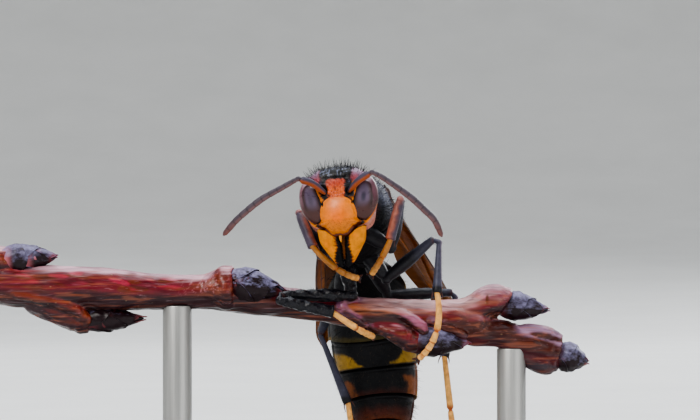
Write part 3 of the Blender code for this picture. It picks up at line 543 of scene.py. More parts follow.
class HornetSizes(bpy.types.PropertyGroup):
    """Sizes of the hornet's fine parts."""

    membrane: length_setting("Membrane", "Thickness of a wing's membrane", 0.03, 0.3)
    vein_width: length_setting("Vein width", "Radius of a wing's thickest vein", 0.055, 0.2)
    facet: length_setting("Facet", "Width of one facet of an eye", 0.028, 0.2)
    hair_thickness: FloatProperty(
        name="Hair thickness", description="A hair's root radius as a share of its length", default=0.028,
        min=0.005, max=0.2)
    hair_amount: FloatProperty(
        name="Hair amount", description="How many hairs grow, against the model's own number", default=1.0,
        min=0.0, max=1.5)
    seed: IntProperty(name="Seed", description="Seed of the coat's random draws", default=7, min=0)


class TwigColours(bpy.types.PropertyGroup):
    """Colours of the twig, its buds and the stand."""

    bark: colour_setting("Bark", "Sides of the twig", 106, 10, 30)
    rust: colour_setting("Rust", "Brown streaks of the bark", 104, 40, 10)
    # Wax bloom in the bark's streaks; the same colour is also painted on the twig's upper faces as highlight
    bloom_and_highlight: colour_setting("Bloom", "Pale wax on the twig's upper side", 210, 168, 182)
    shade: colour_setting("Shade", "Underside of the twig", 22, 5, 14)
    wood: colour_setting("Wood", "Cut end of the twig", 206, 176, 128)
    bud: colour_setting("Bud", "Bud scales", 30, 14, 20)
    frost: colour_setting("Frost", "Pale crust on the bud scales", 140, 136, 172)
    base: colour_setting("Base", "Foot of the stand", 150, 150, 148)
    rod: colour_setting("Rod", "Rods of the stand", 176, 176, 174)
    floor: colour_setting("Floor", "Floor and backdrop", 226, 226, 224)


def colours():
    return bpy.context.scene.hornet_colours


def twig_colours():
    return bpy.context.scene.hornet_twig


def sizes():
    return bpy.context.scene.hornet_sizes


# Finishes


def eye_finish():
    """Dark glossy eye with a mosaic of facets."""
    material, tree, shader = new_material("eye")
    tint = painted(tree)
    facets = wire(tree, "ShaderNodeTexVoronoi", {
        "Vector": object_place(tree), "Scale": 1 / sizes().facet, "Randomness": 0.25}, feature="F1")
    cloud = noise_at(tree, 2200.0, 2.0)
    mottled(tree, shader, tint, cloud, 0.85, 1.15)
    polish(tree, shader, cloud, 0.26, 0.36, {
        "Coat Weight": 0.3, "Coat Roughness": 0.1, "Specular IOR Level": 0.3})
    bump(tree, shader, [(facets.outputs["Distance"], -0.004 * MM, 0.6)])
    return material


def wing_finish():
    """Amber membrane that lets some light through, finely creased."""
    material, tree, shader = new_material("wing")
    tint = painted(tree)
    cloud = noise_at(tree, 900.0, 4.0, (1, 3, 3))
    crease = noise_at(tree, 6000.0, 4.0, (1, 2, 2))
    mottled(tree, shader, tint, cloud, 0.72, 1.15)
    polish(tree, shader, crease, 0.45, 0.62, {
        "Transmission Weight": 0.35, "Specular IOR Level": 0.15, "IOR": 1.2})
    bump(tree, shader, [(crease, 0.02 * MM, 0.5)])
    return material


def hair_finish():
    """Hairs and bristles, each in the colour painted on it."""
    material, tree, shader = new_material("hair")
    tint = painted(tree)
    cloud = noise_at(tree, 5000.0, 2.0)
    mottled(tree, shader, tint, cloud, 0.7, 1.35)
    polish(tree, shader, cloud, 0.5, 0.65, {"Specular IOR Level": 0.25})
    return material


def bark_finish():
    """Young bark: streaked along the twig, waxy, with fine wrinkles and pale pores."""
    material, tree, shader = new_material("bark")
    tint = painted(tree)
    streak = noise_at(tree, 1500.0, 6.0, (0.14, 1.6, 1.6), 0.6)
    fibre = noise_at(tree, 6500.0, 4.0, (0.06, 1.5, 1.5), 0.55)
    patch = noise_at(tree, 700.0, 3.0, (0.5, 1, 1))
    colour = blend(tree, tint, twig_rgb("rust"), ramp(tree, streak, 0.52, 0.68, 0.0, 0.45))
    colour = blend(tree, colour, twig_rgb("bloom_and_highlight"), ramp(tree, fibre, 0.6, 0.78, 0.0, 0.3))
    colour = blend(tree, colour, twig_rgb("shade"), ramp(tree, patch, 0.5, 0.7, 0.0, 0.55))
    thread = noise_at(tree, 4200.0, 2.0, (0.035, 1.3, 1.3), 0.45)
    colour = blend(tree, colour, linear(186, 104, 70), ramp(tree, thread, 0.54, 0.72, 0.0, 0.35))
    colour = blend(tree, colour, linear(50, 6, 18), ramp(tree, thread, 0.46, 0.3, 0.0, 0.5))
    place = wire(tree, "ShaderNodeMapping", {"Vector": object_place(tree), "Scale": (0.7, 1, 1)})
    pores = wire(tree, "ShaderNodeTexVoronoi", {
        "Vector": place.outputs["Vector"], "Scale": 1500.0}).outputs["Distance"]
    pore = ramp(tree, pores, 0.085, 0.05)
    colour = blend(tree, colour, twig_rgb("wood"), wire(
        tree, "ShaderNodeMath", {0: pore, 1: 0.15}, operation="MULTIPLY").outputs[0])
    tree.links.new(colour, shader.inputs["Base Color"])
    polish(tree, shader, streak, 0.28, 0.5, {
        "Coat Weight": 0.3, "Coat Roughness": 0.16, "Specular IOR Level": 0.28})
    bump(tree, shader, [(streak, 0.09 * MM, 0.7), (fibre, 0.025 * MM, 0.6), (pore, 0.03 * MM, 0.7)])
    return material


def bud_finish(name, bare, upper, soft, lumps):
    """Bud scales: dark and leathery under a pale crust: how much is bare, how far the crust keeps to the upper side,
    where it also stands for painted sheen from above, how soft its edge is and how lumpy it lies."""
    material, tree, shader = new_material(name)
    tint = painted(tree)
    cloud = noise_at(tree, 2600.0, 6.0, (0.5, 1, 1), 0.65)
    upward = wire(tree, "ShaderNodeSeparateXYZ", {
        "Vector": wire(tree, "ShaderNodeNewGeometry").outputs["Normal"]}).outputs["Z"]
    # The crust follows the faces turned up, so it is partly a real crust and partly painted sheen from above
    rise = wire(tree, "ShaderNodeMath", {0: upward, 1: upper, 2: cloud}, operation="MULTIPLY_ADD").outputs[0]
    crust_and_sheen = ramp(tree, rise, bare, bare + soft)
    share = wire(tree, "ShaderNodeMath", {0: crust_and_sheen, 1: 0.85}, operation="MULTIPLY").outputs[0]
    dust_and_sheen = ramp(tree, noise_at(tree, 6000.0, 4.0), 0.35, 0.65, 0.0, 0.2 + 3 * lumps)
    pale = blend(tree, twig_rgb("frost"), twig_rgb("shade"), dust_and_sheen)
    tree.links.new(blend(tree, tint, pale, share), shader.inputs["Base Color"])
    tree.links.new(ramp(tree, crust_and_sheen, 0.0, 1.0, 0.3, 0.6), shader.inputs["Roughness"])
    bump(tree, shader, [(crust_and_sheen, 0.3 * lumps * MM, 0.8), (cloud, lumps * MM, 0.6)])
    settle(shader, {"Coat Weight": 0.12, "Coat Roughness": 0.12, "Specular IOR Level": 0.2})
    return material


def stand_finish(name, grain, roughness, metallic):
    """The stand's finish: brushed along one way, or finely grained."""
    material, tree, shader = new_material(name)
    brushed = noise_at(tree, 900.0, 5.0, grain, 0.7)
    mottled(tree, shader, twig_rgb(name), brushed, 0.86, 1.1)
    polish(tree, shader, brushed, roughness - 0.06, roughness + 0.08, {"Metallic": metallic})
    bump(tree, shader, [(brushed, 0.015 * MM, 0.4)])
    return material


def floor_finish():
    """Matt paper, very faintly uneven."""
    material, tree, shader = new_material("paper")
    mottled(tree, shader, twig_rgb("floor"), noise_at(tree, 60.0, 3.0), 0.97, 1.02)
    shader.inputs["Roughness"].default_value = 0.9
    return material


def twig_rgb(name):
    return tuple(getattr(twig_colours(), name))


CHITINS = {  # roughness, the pits' size and depth, coat, sheen, mottle and shine
    "head": (0.38, 0.085, 0.012, 0.1, 0.04, 0.2),
    "face": (0.4, 0.10, 0.010, 0.2, 0.0, 0.16),
    "jaw": (0.5, 0.16, 0.02, 0.0, 0.0, 0.22, 0.16),
    "body": (0.5, 0.07, 0.022, 0.0, 0.06, 0.35, 0.22),
    "belly": (0.42, 0.06, 0.012, 0.0, 0.0, 0.25, 0.2),
    "leg": (0.42, 0.07, 0.014, 0.1, 0.05, 0.3),
    "wet_leg": (0.26, 0.2, 0.05, 0.3, 0.0, 0.4, 0.22),
    "feeler": (0.5, 0.05, 0.008, 0.05, 0.2, 0.15),
    "lens": (0.12, 0.3, 0.001, 1.0, 0.0, 0.1),
    "vein": (0.4, 0.1, 0.004, 0.2, 0.0, 0.2),
}
BUD_FINISHES = {  # share bare, pull to the upper side, softness and lumps of the crust
    "bud": (0.54, 0.25, 0.1, 0.12), "bud_bare": (0.68, 0.25, 0.25, 0.07), "bud_waxy": (0.44, 0.3, 0.35, 0.05),
}
STAND_FINISHES = {"base": ((1, 1, 1), 0.5, 0.0), "rod": ((4, 4, 0.1), 0.38, 0.6)}  # grain, roughness, metal
OTHER_FINISHES = {"eye": eye_finish, "wing": wing_finish, "hair": hair_finish, "bark": bark_finish,
                  "paper": floor_finish}


def finish(name):
    """The named material, made once."""
    found = bpy.data.materials.get(name)
    if found is not None:
        return found
    for make, styles in ((chitin, CHITINS), (bud_finish, BUD_FINISHES), (stand_finish, STAND_FINISHES)):
        if name in styles:
            return make(name, *styles[name])
    return OTHER_FINISHES[name]()


# Head


def head_matrix():
    return np.array(
        Matrix.Translation(HEAD_PLACE) @ Matrix.Rotation(HEAD_TURN[2], 4, "Z")
        @ Matrix.Rotation(HEAD_TURN[0], 4, "X") @ Matrix.Rotation(HEAD_TURN[1], 4, "Y"))


def from_head(points):
    turn = head_matrix()
    return points @ turn[:3, :3].T + turn[:3, 3]


def to_head(points):
    turn = head_matrix()
    return (np.asarray(points, float) - turn[:3, 3]) @ turn[:3, :3]


def head_surface(around, up, scale=1.0):
    """Points of the bare head, from degrees round it and up it."""
    around, up = np.radians(around), np.radians(up)
    corner = np.where(up > 0, CROWN_SQUARENESS, 1.0)
    level = np.abs(np.cos(up)) ** corner
    facing = np.cos(around) * level
    depth = np.where(facing > 0, HEAD_FRONT, HEAD_BACK)
    return np.stack([
        HEAD_HALF_WIDTH * scale * np.sin(around) * level,
        -np.sign(facing) * np.abs(facing) ** FACE_FLATNESS * (depth * scale),
        HEAD_LIFT + HEAD_HALF_HEIGHT * scale * np.sign(up) * np.abs(np.sin(up)) ** corner,
    ], -1)


def face_depth(x, z):
    """How far the bare face stands forward at a point of the head's front plane."""
    lift = np.clip((z - HEAD_LIFT) / HEAD_HALF_HEIGHT, -0.99, 0.99)
    corner = np.where(lift > 0, CROWN_SQUARENESS, 1.0)
    level = (1 - np.abs(lift) ** (2 / corner)) ** (corner / 2)
    facing = np.sqrt(np.clip(level**2 - (x / HEAD_HALF_WIDTH) ** 2, 0.0, 1.0))
    return HEAD_FRONT * facing**FACE_FLATNESS


def eye_reach(turn):
    """The eye's outline against its plain oval, at a turn in degrees."""
    reach = 1.0
    for depth, notch, spread in EYE_NOTCHES:
        off = (turn - notch + 180) % 360 - 180
        reach = reach - depth * np.exp(-((off / spread) ** 2))
    return reach


def eye_share(around, up, side):
    """0 at an eye's middle and 1 at its edge."""
    rise = up - EYE_MIDDLE[1]
    across = side * around - EYE_MIDDLE[0] - EYE_LEAN * rise
    across = across / np.where(across > 0, EYE_OUTER, EYE_INNER)
    rise = rise / EYE_RISE
    return np.hypot(across, rise) / eye_reach(np.degrees(np.arctan2(rise, across)))


def torulus(name):
    """Where an antenna's socket lies on the face, across and up."""
    x, _, z = to_head(SCAPES[name][0])
    return x, z


def clypeus_rim(count):
    """The clypeus's outline as a smooth ring of points, across and up."""
    half = np.array(CLYPEUS_OUTLINE)
    ring = np.vstack([half, half[-2:0:-1] * (-1, 1)])
    path = smooth_path(np.vstack([ring, ring[:1]]), 12)
    lengths = np.concatenate([[0], np.cumsum(np.linalg.norm(np.diff(path, axis=0), axis=1))])
    places = np.linspace(0, lengths[-1], count, endpoint=False)
    return np.stack([np.interp(places, lengths, path[:, k]) for k in range(2)], -1)


def clypeus_share(x, z):
    """0 at the clypeus's middle and 1 at its edge, for points of the head's front plane."""
    rim = clypeus_rim(180) - (0, CLYPEUS_MIDDLE)
    bearings = np.arctan2(rim[:, 0], rim[:, 1])
    order = np.argsort(bearings)
    bearing = np.arctan2(x, z - CLYPEUS_MIDDLE)
    reach = np.interp(bearing, bearings[order], np.hypot(rim[:, 0], rim[:, 1])[order], period=math.tau)
    return np.hypot(x, z - CLYPEUS_MIDDLE) / reach


HEAD_COLUMNS, HEAD_ROWS = 260, 190


def head_grid():
    """Degrees round and up, closer together on the face than behind."""
    share = np.linspace(-1, 1, HEAD_COLUMNS, endpoint=False)
    around = 180 * (0.62 * share + 0.38 * share**3)
    rise = np.linspace(-1, 1, HEAD_ROWS)
    up = 89.2 * rise
    return np.meshgrid(around, up)


def head_relief(around, up, place):
    """How far the head's skin stands out of its plain form, with eye seats, sockets and furrows."""
    x, z = place[..., 0], place[..., 2]
    front = fade(-place[..., 1], -0.1, 0.3)
    rise = np.zeros(x.shape)
    for side in (LEFT, RIGHT):
        share = eye_share(around, up, side)
        rise -= 0.16 * fade(share, 1.04, 0.94)
        rise += 0.05 * hump(share, 1.11, 0.06) - 0.02 * hump(share, 1.3, 0.1)
        rise += 0.1 * hump(x, side * 1.5, 0.35) * hump(z, -1.05, 0.4) * front
        rise += 0.06 * hump(x, side * 0.95, 0.4) * hump(z, 2.05, 0.35)
    for name in SIDES:
        across, height = torulus(name)
        apart = np.hypot(x - across, z - height)
        rise += front * (-0.26 * hump(apart, 0.0, 0.2) + 0.1 * hump(apart, 0.34, 0.09))
    brow = hump(x, 0, 0.55) * fade(z, 0.55, 0.75) * fade(z, 1.85, 1.5)
    rise += front * (0.1 * brow - 0.05 * hump(x, 0, 0.05) * fade(z, 0.7, 0.85) * fade(z, 1.6, 1.3))
    rise -= front * 0.05 * hump(z, 1.78, 0.1) * fade(np.abs(x), 0.9, 0.6)
    rise -= front * 0.08 * hump(clypeus_share(x, z), 1.06, 0.05)
    rise += 0.05 * hump(x, 0, 0.5) * hump(z, 2.25, 0.25)
    turned = np.abs(around)
    rise += 0.3 * fade(turned, 82, 104) * fade(turned, 150, 120) * hump(z, -1.2, 0.5)
    rise += 0.006 * rough(place, 0.35, 3)
    return rise


def head_tint(around, up, place):
    """The head's markings, with painted highlights and sheen on the temples, brow and crown."""
    paint_box = colours()
    x, z = place[..., 0], place[..., 2]
    waver = 0.035 * rough(place, 0.28, 11) + 0.02 * rough(place, 0.09, 12)
    front = fade(-place[..., 1] + waver, 0.0, 0.12)
    tint = flat_colour(x.shape, paint_box.black)
    nearest = np.minimum(eye_share(around, up, LEFT), eye_share(around, up, RIGHT))
    behind = fade(place[..., 1] + waver, 0.1, 0.6)
    temple = fade(np.abs(x) + waver, 0.9, 1.15) * fade(z + waver, -1.6, -1.3) * (1 - 0.7 * behind)
    tint = mix(tint, paint_box.temple, temple * 0.9)
    # Painted highlight: lilac on the upper temples and pale lilac at their top
    tint = mix(tint, linear(138, 108, 134), temple * fade(z + waver, 1.4, 1.75) * 0.9)
    tint = mix(tint, linear(166, 152, 174), temple * fade(z + waver, 1.95, 2.15) * 0.6)
    tint = mix(tint, linear(198, 136, 122), temple * fade(z + waver, -0.35, -0.6) * 0.9)
    tint = mix(tint, linear(180, 72, 78),
               hump(np.abs(x) + waver, 1.16, 0.2) * hump(z + waver, 1.7, 0.15) * front * 0.85)
    cheek = fade(nearest + waver, 1.36, 1.26) * front * fade(z + waver, 1.62, 1.4) * fade(z, -1.75, -1.55)
    tint = mix(tint, paint_box.cheek, cheek)
    tint = mix(tint, linear(150, 76, 22), cheek * fade(z, 0.2, 0.8) * 0.6)
    ragged = 0.06 * rough(place, 0.2, 13) + 0.04 * rough(place, 0.08, 17)
    width = 0.44 + 0.13 * fade(z, 0.8, 1.6) + 0.1 * fade(z, 0.75, 0.5) - 0.12 * fade(z, 1.55, 1.8)
    brow = (fade(np.abs(x) + ragged, width + 0.07, width - 0.05) * fade(z + ragged, 1.8, 1.66)
            * fade(z, 0.3, 0.45) * front)
    tint = mix(tint, paint_box.brow, brow)
    tint = mix(tint, linear(222, 106, 34), brow * fade(z + waver, 1.45, 0.95) * fade(z, 0.5, 0.7) * 0.75)
    tint = mix(tint, linear(178, 52, 26), brow * fade(z + waver, 0.66, 0.5) * 0.7)
    # Painted highlight: pinkish glints over the brow patch
    tint = mix(tint, linear(214, 150, 156), brow * fade(rough(place, 0.12, 14), 0.3, 0.8) * (
        0.25 + 0.45 * hump(z, 0.8, 0.15)))
    tint = mix(tint, linear(120, 24, 12), brow * fade(rough(place, 0.16, 15), 0.1, 0.7) * 0.6)
    # Painted sheen: bluish-grey patches on the black crown
    crown = fade(z + waver, 1.85, 2.0) * fade(np.abs(x), 1.2, 0.95) * fade(rough(place, 0.24, 16), 0.05, 0.45)
    tint = mix(tint, linear(112, 118, 142), crown * 0.7)
    # Painted sheen: bluish grey beside the brow patch, towards the eyes
    dust_and_sheen = hump(np.abs(x) + waver, 0.86, 0.13) * hump(z + waver, 1.42, 0.2) * front
    tint = mix(tint, linear(104, 104, 132), dust_and_sheen * fade(rough(place, 0.12, 18), -0.2, 0.3) * 0.8)
    mark = hump(x + 0.02, 0, 0.055) * hump(z, 1.12, 0.12) + 0.35 * hump(np.abs(x), 0.12, 0.04) * hump(z, 0.85, 0.05)
    tint = mix(tint, paint_box.black, np.clip(mark, 0, 1) * front * 0.75)
    for name in SIDES:
        across, height = torulus(name)
        apart = np.hypot((x - across) * 1.7, (z - height) * 0.85) + waver
        tint = mix(tint, paint_box.black, fade(apart + waver, 0.46, 0.36) * front)
    tint = mix(tint, paint_box.black, fade(nearest, 1.03, 1.0))
    joined = fade(np.abs(x) + ragged, 0.52, 0.4) * fade(z, 0.3, 0.5)
    return mix(tint, paint_box.tooth, fade(clypeus_share(x, z), 1.09, 1.05) * front * (1 - 0.9 * joined))


def head_skin():
    around, up = head_grid()
    place = head_surface(around, up)
    outward = unit(place - (0, 0, HEAD_LIFT))
    relief = head_relief(around, up, place)
    return around, up, place, place + outward * relief[..., None]


def make_head():
    around, up, plain, skin = head_skin()
    shell = Shell().round(from_head(skin), head_tint(around, up, plain))
    show("head_skin", shell, "head", "chitin_black", ["head"])


def make_ocelli():
    """Three small round lenses on the crown."""
    shell = Shell()
    for *place, radius in OCELLI:
        shell.round(from_head(ball(16, 24, radius) + place), linear(150, 84, 40))
    show("ocelli", shell, "lens", "chitin_brown")


def clypeus_grid(rows=54, columns=220):
    """The clypeus from its middle out to its rim and back into the head, and the share out at each row."""
    rim = clypeus_rim(columns)
    share = np.linspace(0.02, 1.0, rows)[:, None]
    x = rim[None, :, 0] * share
    z = CLYPEUS_MIDDLE + (rim[None, :, 1] - CLYPEUS_MIDDLE) * share
    dome = CLYPEUS_DOME * (1 - share**2.2) - 0.12 * x**2
    front = CLYPEUS_FRONT + dome
    lower = fade(z, -1.0, -1.35)
    edge = face_depth(x, z) + 0.03
    roll = fade(share, 0.84, 1.0) * np.ones(x.shape)
    front = front * (1 - roll * (1 - lower)) + edge * roll * (1 - lower)
    front -= 0.1 * lower * fade(share, 0.93, 1.0)
    front -= 0.05 * hump(share, 0.86, 0.05) * lower
    front -= 0.06 * hump(np.abs(x), 1.14, 0.08) * hump(z, -1.0, 0.16)
    front += 0.05 * hump(np.abs(x), 1.28, 0.1) * hump(z, -1.05, 0.12)
    front += 0.012 * rough(np.stack([x, z, z * 0], -1), 0.5, 21)
    points = np.stack([x, -front, z], -1)
    back = points[-1:].copy()
    back[..., 1] = -CLYPEUS_BACK
    inner = back * (0.4, 1, 0.4) + (0, 0, CLYPEUS_MIDDLE * 0.6)
    return np.concatenate([points, back, inner]), np.concatenate([share, [[1.0], [1.0]]])


def clypeus_tint(points, share):
    paint_box = colours()
    x, z = points[..., 0], points[..., 2]
    waver = 0.05 * rough(points, 0.3, 31)
    tint = flat_colour(x.shape, paint_box.cheek)
    heart = hump(x, 0, 0.75) * hump(z, -0.4, 0.7) + 0.35 * hump(x, 0, 0.3) * hump(z, -0.75, 0.35)
    tint = mix(tint, paint_box.face, np.clip(heart + waver, 0, 1))
    # Painted highlight: pale pinkish orange on the upper middle
    tint = mix(tint, linear(240, 142, 96), hump(x + 0.2, 0, 0.55) * hump(z, 0.05, 0.45) * 0.45)
    tint = mix(tint, linear(186, 104, 2), fade(z + waver, -0.5, -1.2) * 0.75)
    tint = mix(tint, linear(116, 54, 6),
               fade(rough(points, 0.09, 33), 0.35, 0.8) * fade(z, -0.5, -1.0) * 0.65)
    # Painted highlight: pale pink at the top of the clypeus
    tint = mix(tint, linear(232, 140, 104), hump(x + 0.1, 0, 0.6) * hump(z, 0.45, 0.32) * 0.4)
    low = fade(share + waver * 0.6, 0.825, 0.87) * fade(z, -0.8, -1.05)
    tint = mix(tint, linear(84, 30, 16), low * 0.95)
    joined = fade(np.abs(x) + waver, 0.55, 0.42) * fade(z, 0.2, 0.4)
    tint = mix(tint, linear(206, 84, 30), joined * fade(share + waver, 0.9, 1.0) * 0.7)
    return mix(tint, paint_box.tooth, fade(share, 0.985, 0.999) * 0.8 * (1 - joined))


def make_clypeus():
    points, share = clypeus_grid()
    shell = Shell().round(from_head(points), clypeus_tint(points, share * np.ones(points.shape[:2])))
    show("clypeus_plate", shell, "face", "chitin_orange", ["clypeus"], 50)


def mandible_grid(side, rows=90, columns=44):
    """One jaw as rings from root to tip, and how far each point lies from its inner edge, in millimetres."""
    drop = np.linspace(MANDIBLE_STATIONS[0][0], MANDIBLE_STATIONS[-1][0], rows)[:, None]
    outer, inner, thick = curve_at(MANDIBLE_STATIONS, drop)
    for tooth, size in JAW_TEETH:
        inner = inner - size * np.maximum(0, 1 - np.abs(drop - tooth) / 0.11) ** 0.8 * 0.5
    inner = inner + 0.05 * hump(drop, 1.95, 0.3)
    slope = 0.5 * fade(drop, 2.1, 1.7)
    turn = turns_of(columns)[None]
    across = np.sign(np.cos(turn)) * np.abs(np.cos(turn)) ** 0.75
    x = (outer + inner) / 2 + (outer - inner) / 2 * across
    y = MANDIBLE_PLACE - thick * np.sin(turn) * (1 - 0.25 * np.maximum(0, -across))
    y = y + 0.06 * hump(x - inner, 0.28, 0.09) * fade(np.sin(turn), 0.2, 0.6)
    share = (x - inner) / (outer - inner) * np.ones(x.shape)
    z = -drop + slope * (share - 0.45)
    z += np.interp(share, (0.0, 0.19, 0.39, 0.57, 0.89, 1.0), (0.06, 0.05, 0.15, 0.27, 0.25, 0.13)) * fade(
        drop, 2.2, MANDIBLE_STATIONS[0][0])
    return np.stack([side * x + MANDIBLE_SHIFT, y, z], -1), x - inner, drop * np.ones(x.shape)


def mandible_tint(points, from_edge, down):
    paint_box = colours()
    drop = -points[..., 2]
    waver = 0.05 * rough(points, 0.14, 41)
    steps = 0.035 * np.sin(drop * math.tau / 0.19) + 0.03 * np.sin(drop * math.tau / 0.43)
    dark = 0.25 + 0.2 * fade(drop, 2.2, 3.1) + steps * fade(drop, 1.9, 2.3) + waver
    tint = flat_colour(drop.shape, paint_box.jaw)
    tint = mix(tint, paint_box.face, fade(rough(points, 0.9, 42), 0.0, 0.9) * 0.2)
    tint = mix(tint, linear(190, 96, 34), fade(down, 3.0, 3.4) * 0.5)
    tint = mix(tint, linear(120, 54, 24), fade(from_edge, dark + 0.1, dark + 0.02) * 0.8)
    tint = mix(tint, paint_box.tooth, fade(from_edge, dark + 0.03, dark - 0.03))
    tint = mix(tint, paint_box.tooth, fade(drop + waver, 3.3, 3.5))
    return mix(tint, paint_box.tooth, fade(down + waver * 0.3, 1.73, 1.69) * 0.7)


def make_jaws():
    for name, side in SIDES.items():
        points, from_edge, down = mandible_grid(side)
        shell = Shell().round(from_head(points), mandible_tint(points, from_edge, down))
        show(f"jaw_{name}", shell, "jaw", "chitin_orange", [f"mandible_{name}"])


def make_mouth():
    """The lip's tip between the jaws, and the dark mouth parts behind them with their palps."""
    shell = Shell()
    path = smooth_path([(0, -1.05, -1.6), (0, -1.12, -1.8), (0, -1.1, -2.0), (0, -1.0, -2.12)], 8)
    shell.round(from_head(tube(path, np.linspace(0.12, 0.03, len(path)), 14)), linear(226, 150, 60))
    tongue = [(0, -0.3, -1.3, 0.5), (0, -0.5, -2.1, 0.42), (0, -0.62, -2.8, 0.26), (0, -0.66, -3.2, 0.1)]
    shell.round(from_head(rope(tongue, 10, 20, 0.6)), linear(126, 70, 26))
    for side in SIDES.values():
        palp = [(side * 0.7, 0.0, -1.6, 0.1), (side * 0.8, 0.0, -2.2, 0.09), (side * 0.7, -0.1, -2.7, 0.07),
                (side * 0.55, -0.2, -3.1, 0.04)]
        shell.round(from_head(rope(palp, 10, 12)), linear(120, 66, 30))
    show("mouth", shell, "jaw", "chitin_brown")


def eye_grid(side, rows=46, columns=110):
    """An eye's shell from its middle to its edge and down behind the head's skin."""
    turn = np.degrees(turns_of(columns))[None]
    share = np.linspace(0.02, 1.0, rows)[:, None]
    reach = eye_reach(turn)
    rise = EYE_RISE * reach * share * np.sin(np.radians(turn))
    width = np.where(np.cos(np.radians(turn)) > 0, EYE_OUTER, EYE_INNER)
    around = side * (EYE_MIDDLE[0] + EYE_LEAN * rise + width * reach * share * np.cos(np.radians(turn)))
    up = EYE_MIDDLE[1] + rise
    scale = 1.0 + 0.085 * (1 - share**2.6) + 0.015 * fade(share, 1.0, 0.9)
    points = head_surface(around, up, scale)
    inner = head_surface(around[-1:], up[-1:], 0.86)
    return np.concatenate([points, inner]), np.concatenate([share, [[1.0]]])


def make_eyes():
    paint_box = colours()
    for name, side in SIDES.items():
        points, share = eye_grid(side)
        turn = turns_of(points.shape[1])[None]
        outward, upward = share * np.cos(turn), share * np.sin(turn)
        share = share * np.ones(upward.shape)
        tint = flat_colour(upward.shape, paint_box.eye)
        waver = 0.06 * rough(points, 0.7, 51)
        tint = mix(tint, linear(72, 34, 28), fade(upward + waver, 0.0, -0.5) * 0.85)
        # Painted reflection on the outer upper part: lilac, with a pale pink rim at the top; lower down the band keeps
        # the eye's own dark brown
        band = fade(outward + 0.35 * upward + waver, -0.32, -0.08)
        tint = mix(tint, linear(120, 80, 92), band * fade(upward - 0.3 * outward, -0.6, 0.3) * 0.85)
        tint = mix(tint, linear(84, 46, 40), band * fade(upward, 0.0, -0.5) * 0.75)
        tint = mix(tint, linear(168, 142, 154), band * fade(upward, 0.45, 0.85) * 0.7)
        # Painted reflection: a grey-lilac pool on the inner side, ringed by a dark arc
        reflection_pool = np.hypot((outward + 0.62) / 0.34, (upward - 0.04) / 0.6) + waver
        tint = mix(tint, linear(28, 12, 18),
                   hump(reflection_pool, 1.12, 0.13) * fade(outward + 0.5 * upward, -0.6, -0.2) * 0.8)
        tint = mix(tint, linear(100, 86, 108), fade(reflection_pool, 1.05, 0.5) * fade(upward, -0.45, 0.05) * 0.85)
        pupil = fade(np.hypot(outward + 0.64, (upward - 0.02) * 0.8), 0.15, 0.04) * (0.8 if side == LEFT else 0.3)
        tint = mix(tint, linear(34, 32, 50), pupil)
        # Painted highlight: a pale blue rim along the right eye's outer edge
        if side == RIGHT:
            tint = mix(tint, linear(126, 146, 172), hump(share, 0.92, 0.04) * fade(outward, 0.5, 0.9) * 0.7)
        tint = mix(tint, linear(14, 8, 10), fade(share, 0.94, 0.99))
        shell = Shell().round(from_head(points), tint)
        show(f"eye_{name}_facets", shell, "eye", "eye_brown", [f"eye_{name}"])


# Antennae


def make_antennae():
    paint_box = colours()
    for name in SIDES:
        knots = np.array(SCAPES[name])
        root = knots[0] - (knots[1] - knots[0]) * 0.35
        path = smooth_path(np.vstack([root, knots]), 14)
        share = np.linspace(0, 1, len(path))
        radii = np.interp(share, (0, 0.12, 0.2, 0.3, 0.55, 0.93, 1.0), (0.1, 0.13, 0.1, 0.15, 0.2, 0.23, 0.12))
        rings = tube(path, radii, 22)
        under = fade(rings[..., 2] - path[:, None, 2], 0.02, -0.08) * fade(share, 0.19, 0.27)[:, None]
        # The stalk's upper side: black at the root, then a painted lilac-grey sheen
        upper = mix(flat_colour(under.shape, paint_box.black), linear(66, 60, 78), fade(share, 0.2, 0.4)[:, None])
        tint = mix(upper, paint_box.scape, under)
        shell = Shell().round(rings, tint)
        show(f"scape_{name}", shell, "feeler", "chitin_orange", [f"antenna_{name}_scape"])
        axis = Axis([SCAPES[name][-1], *FLAGELLA[name]], (0, 1, 0))
        length = np.linspace(-0.03, axis.whole, 330)
        place = axis.at(length)[0]
        ring = np.clip(length / axis.whole, 0, 1) * FLAGELLUM_RINGS
        within = ring % 1.0
        slim = np.interp(length / axis.whole, (0.0, 0.012, 0.03, 0.045, 0.06, 0.12, 0.5, 0.9, 0.97, 1.0),
                         (0.11, 0.15, 0.16, 0.125, 0.15, 0.165, 0.205, 0.19, 0.15, 0.05))
        radii = slim * (1 - 0.09 * hump(within, 0, 0.07) - 0.09 * hump(within, 1, 0.07) + 0.03 * within)
        rings = tube(place, radii, 22)
        under = fade(rings[..., 2] - place[:, None, 2], 0.05, -0.12)
        tint = mix(flat_colour(under.shape, linear(70, 60, 70)), paint_box.feeler, under)
        tint = mix(tint, linear(120, 62, 46),
                   (under * 0.4 + fade(ring / FLAGELLUM_RINGS, 0.75, 1.0)[:, None] * 0.4))
        seam = hump(within, 0, 0.06) + hump(within, 1, 0.06)
        tint = mix(tint, paint_box.black, (seam * 0.6)[:, None])
        shell = Shell().round(rings, tint)
        show(f"feeler_{name}", shell, "feeler", "chitin_brown", [f"antenna_{name}_flagellum"])


# Thorax and abdomen


def thorax_axis():
    middle = (np.array(NECK) + WAIST) / 2
    return Axis([NECK, middle, WAIST])


def abdomen_axis():
    return Axis(ABDOMEN_AXIS)


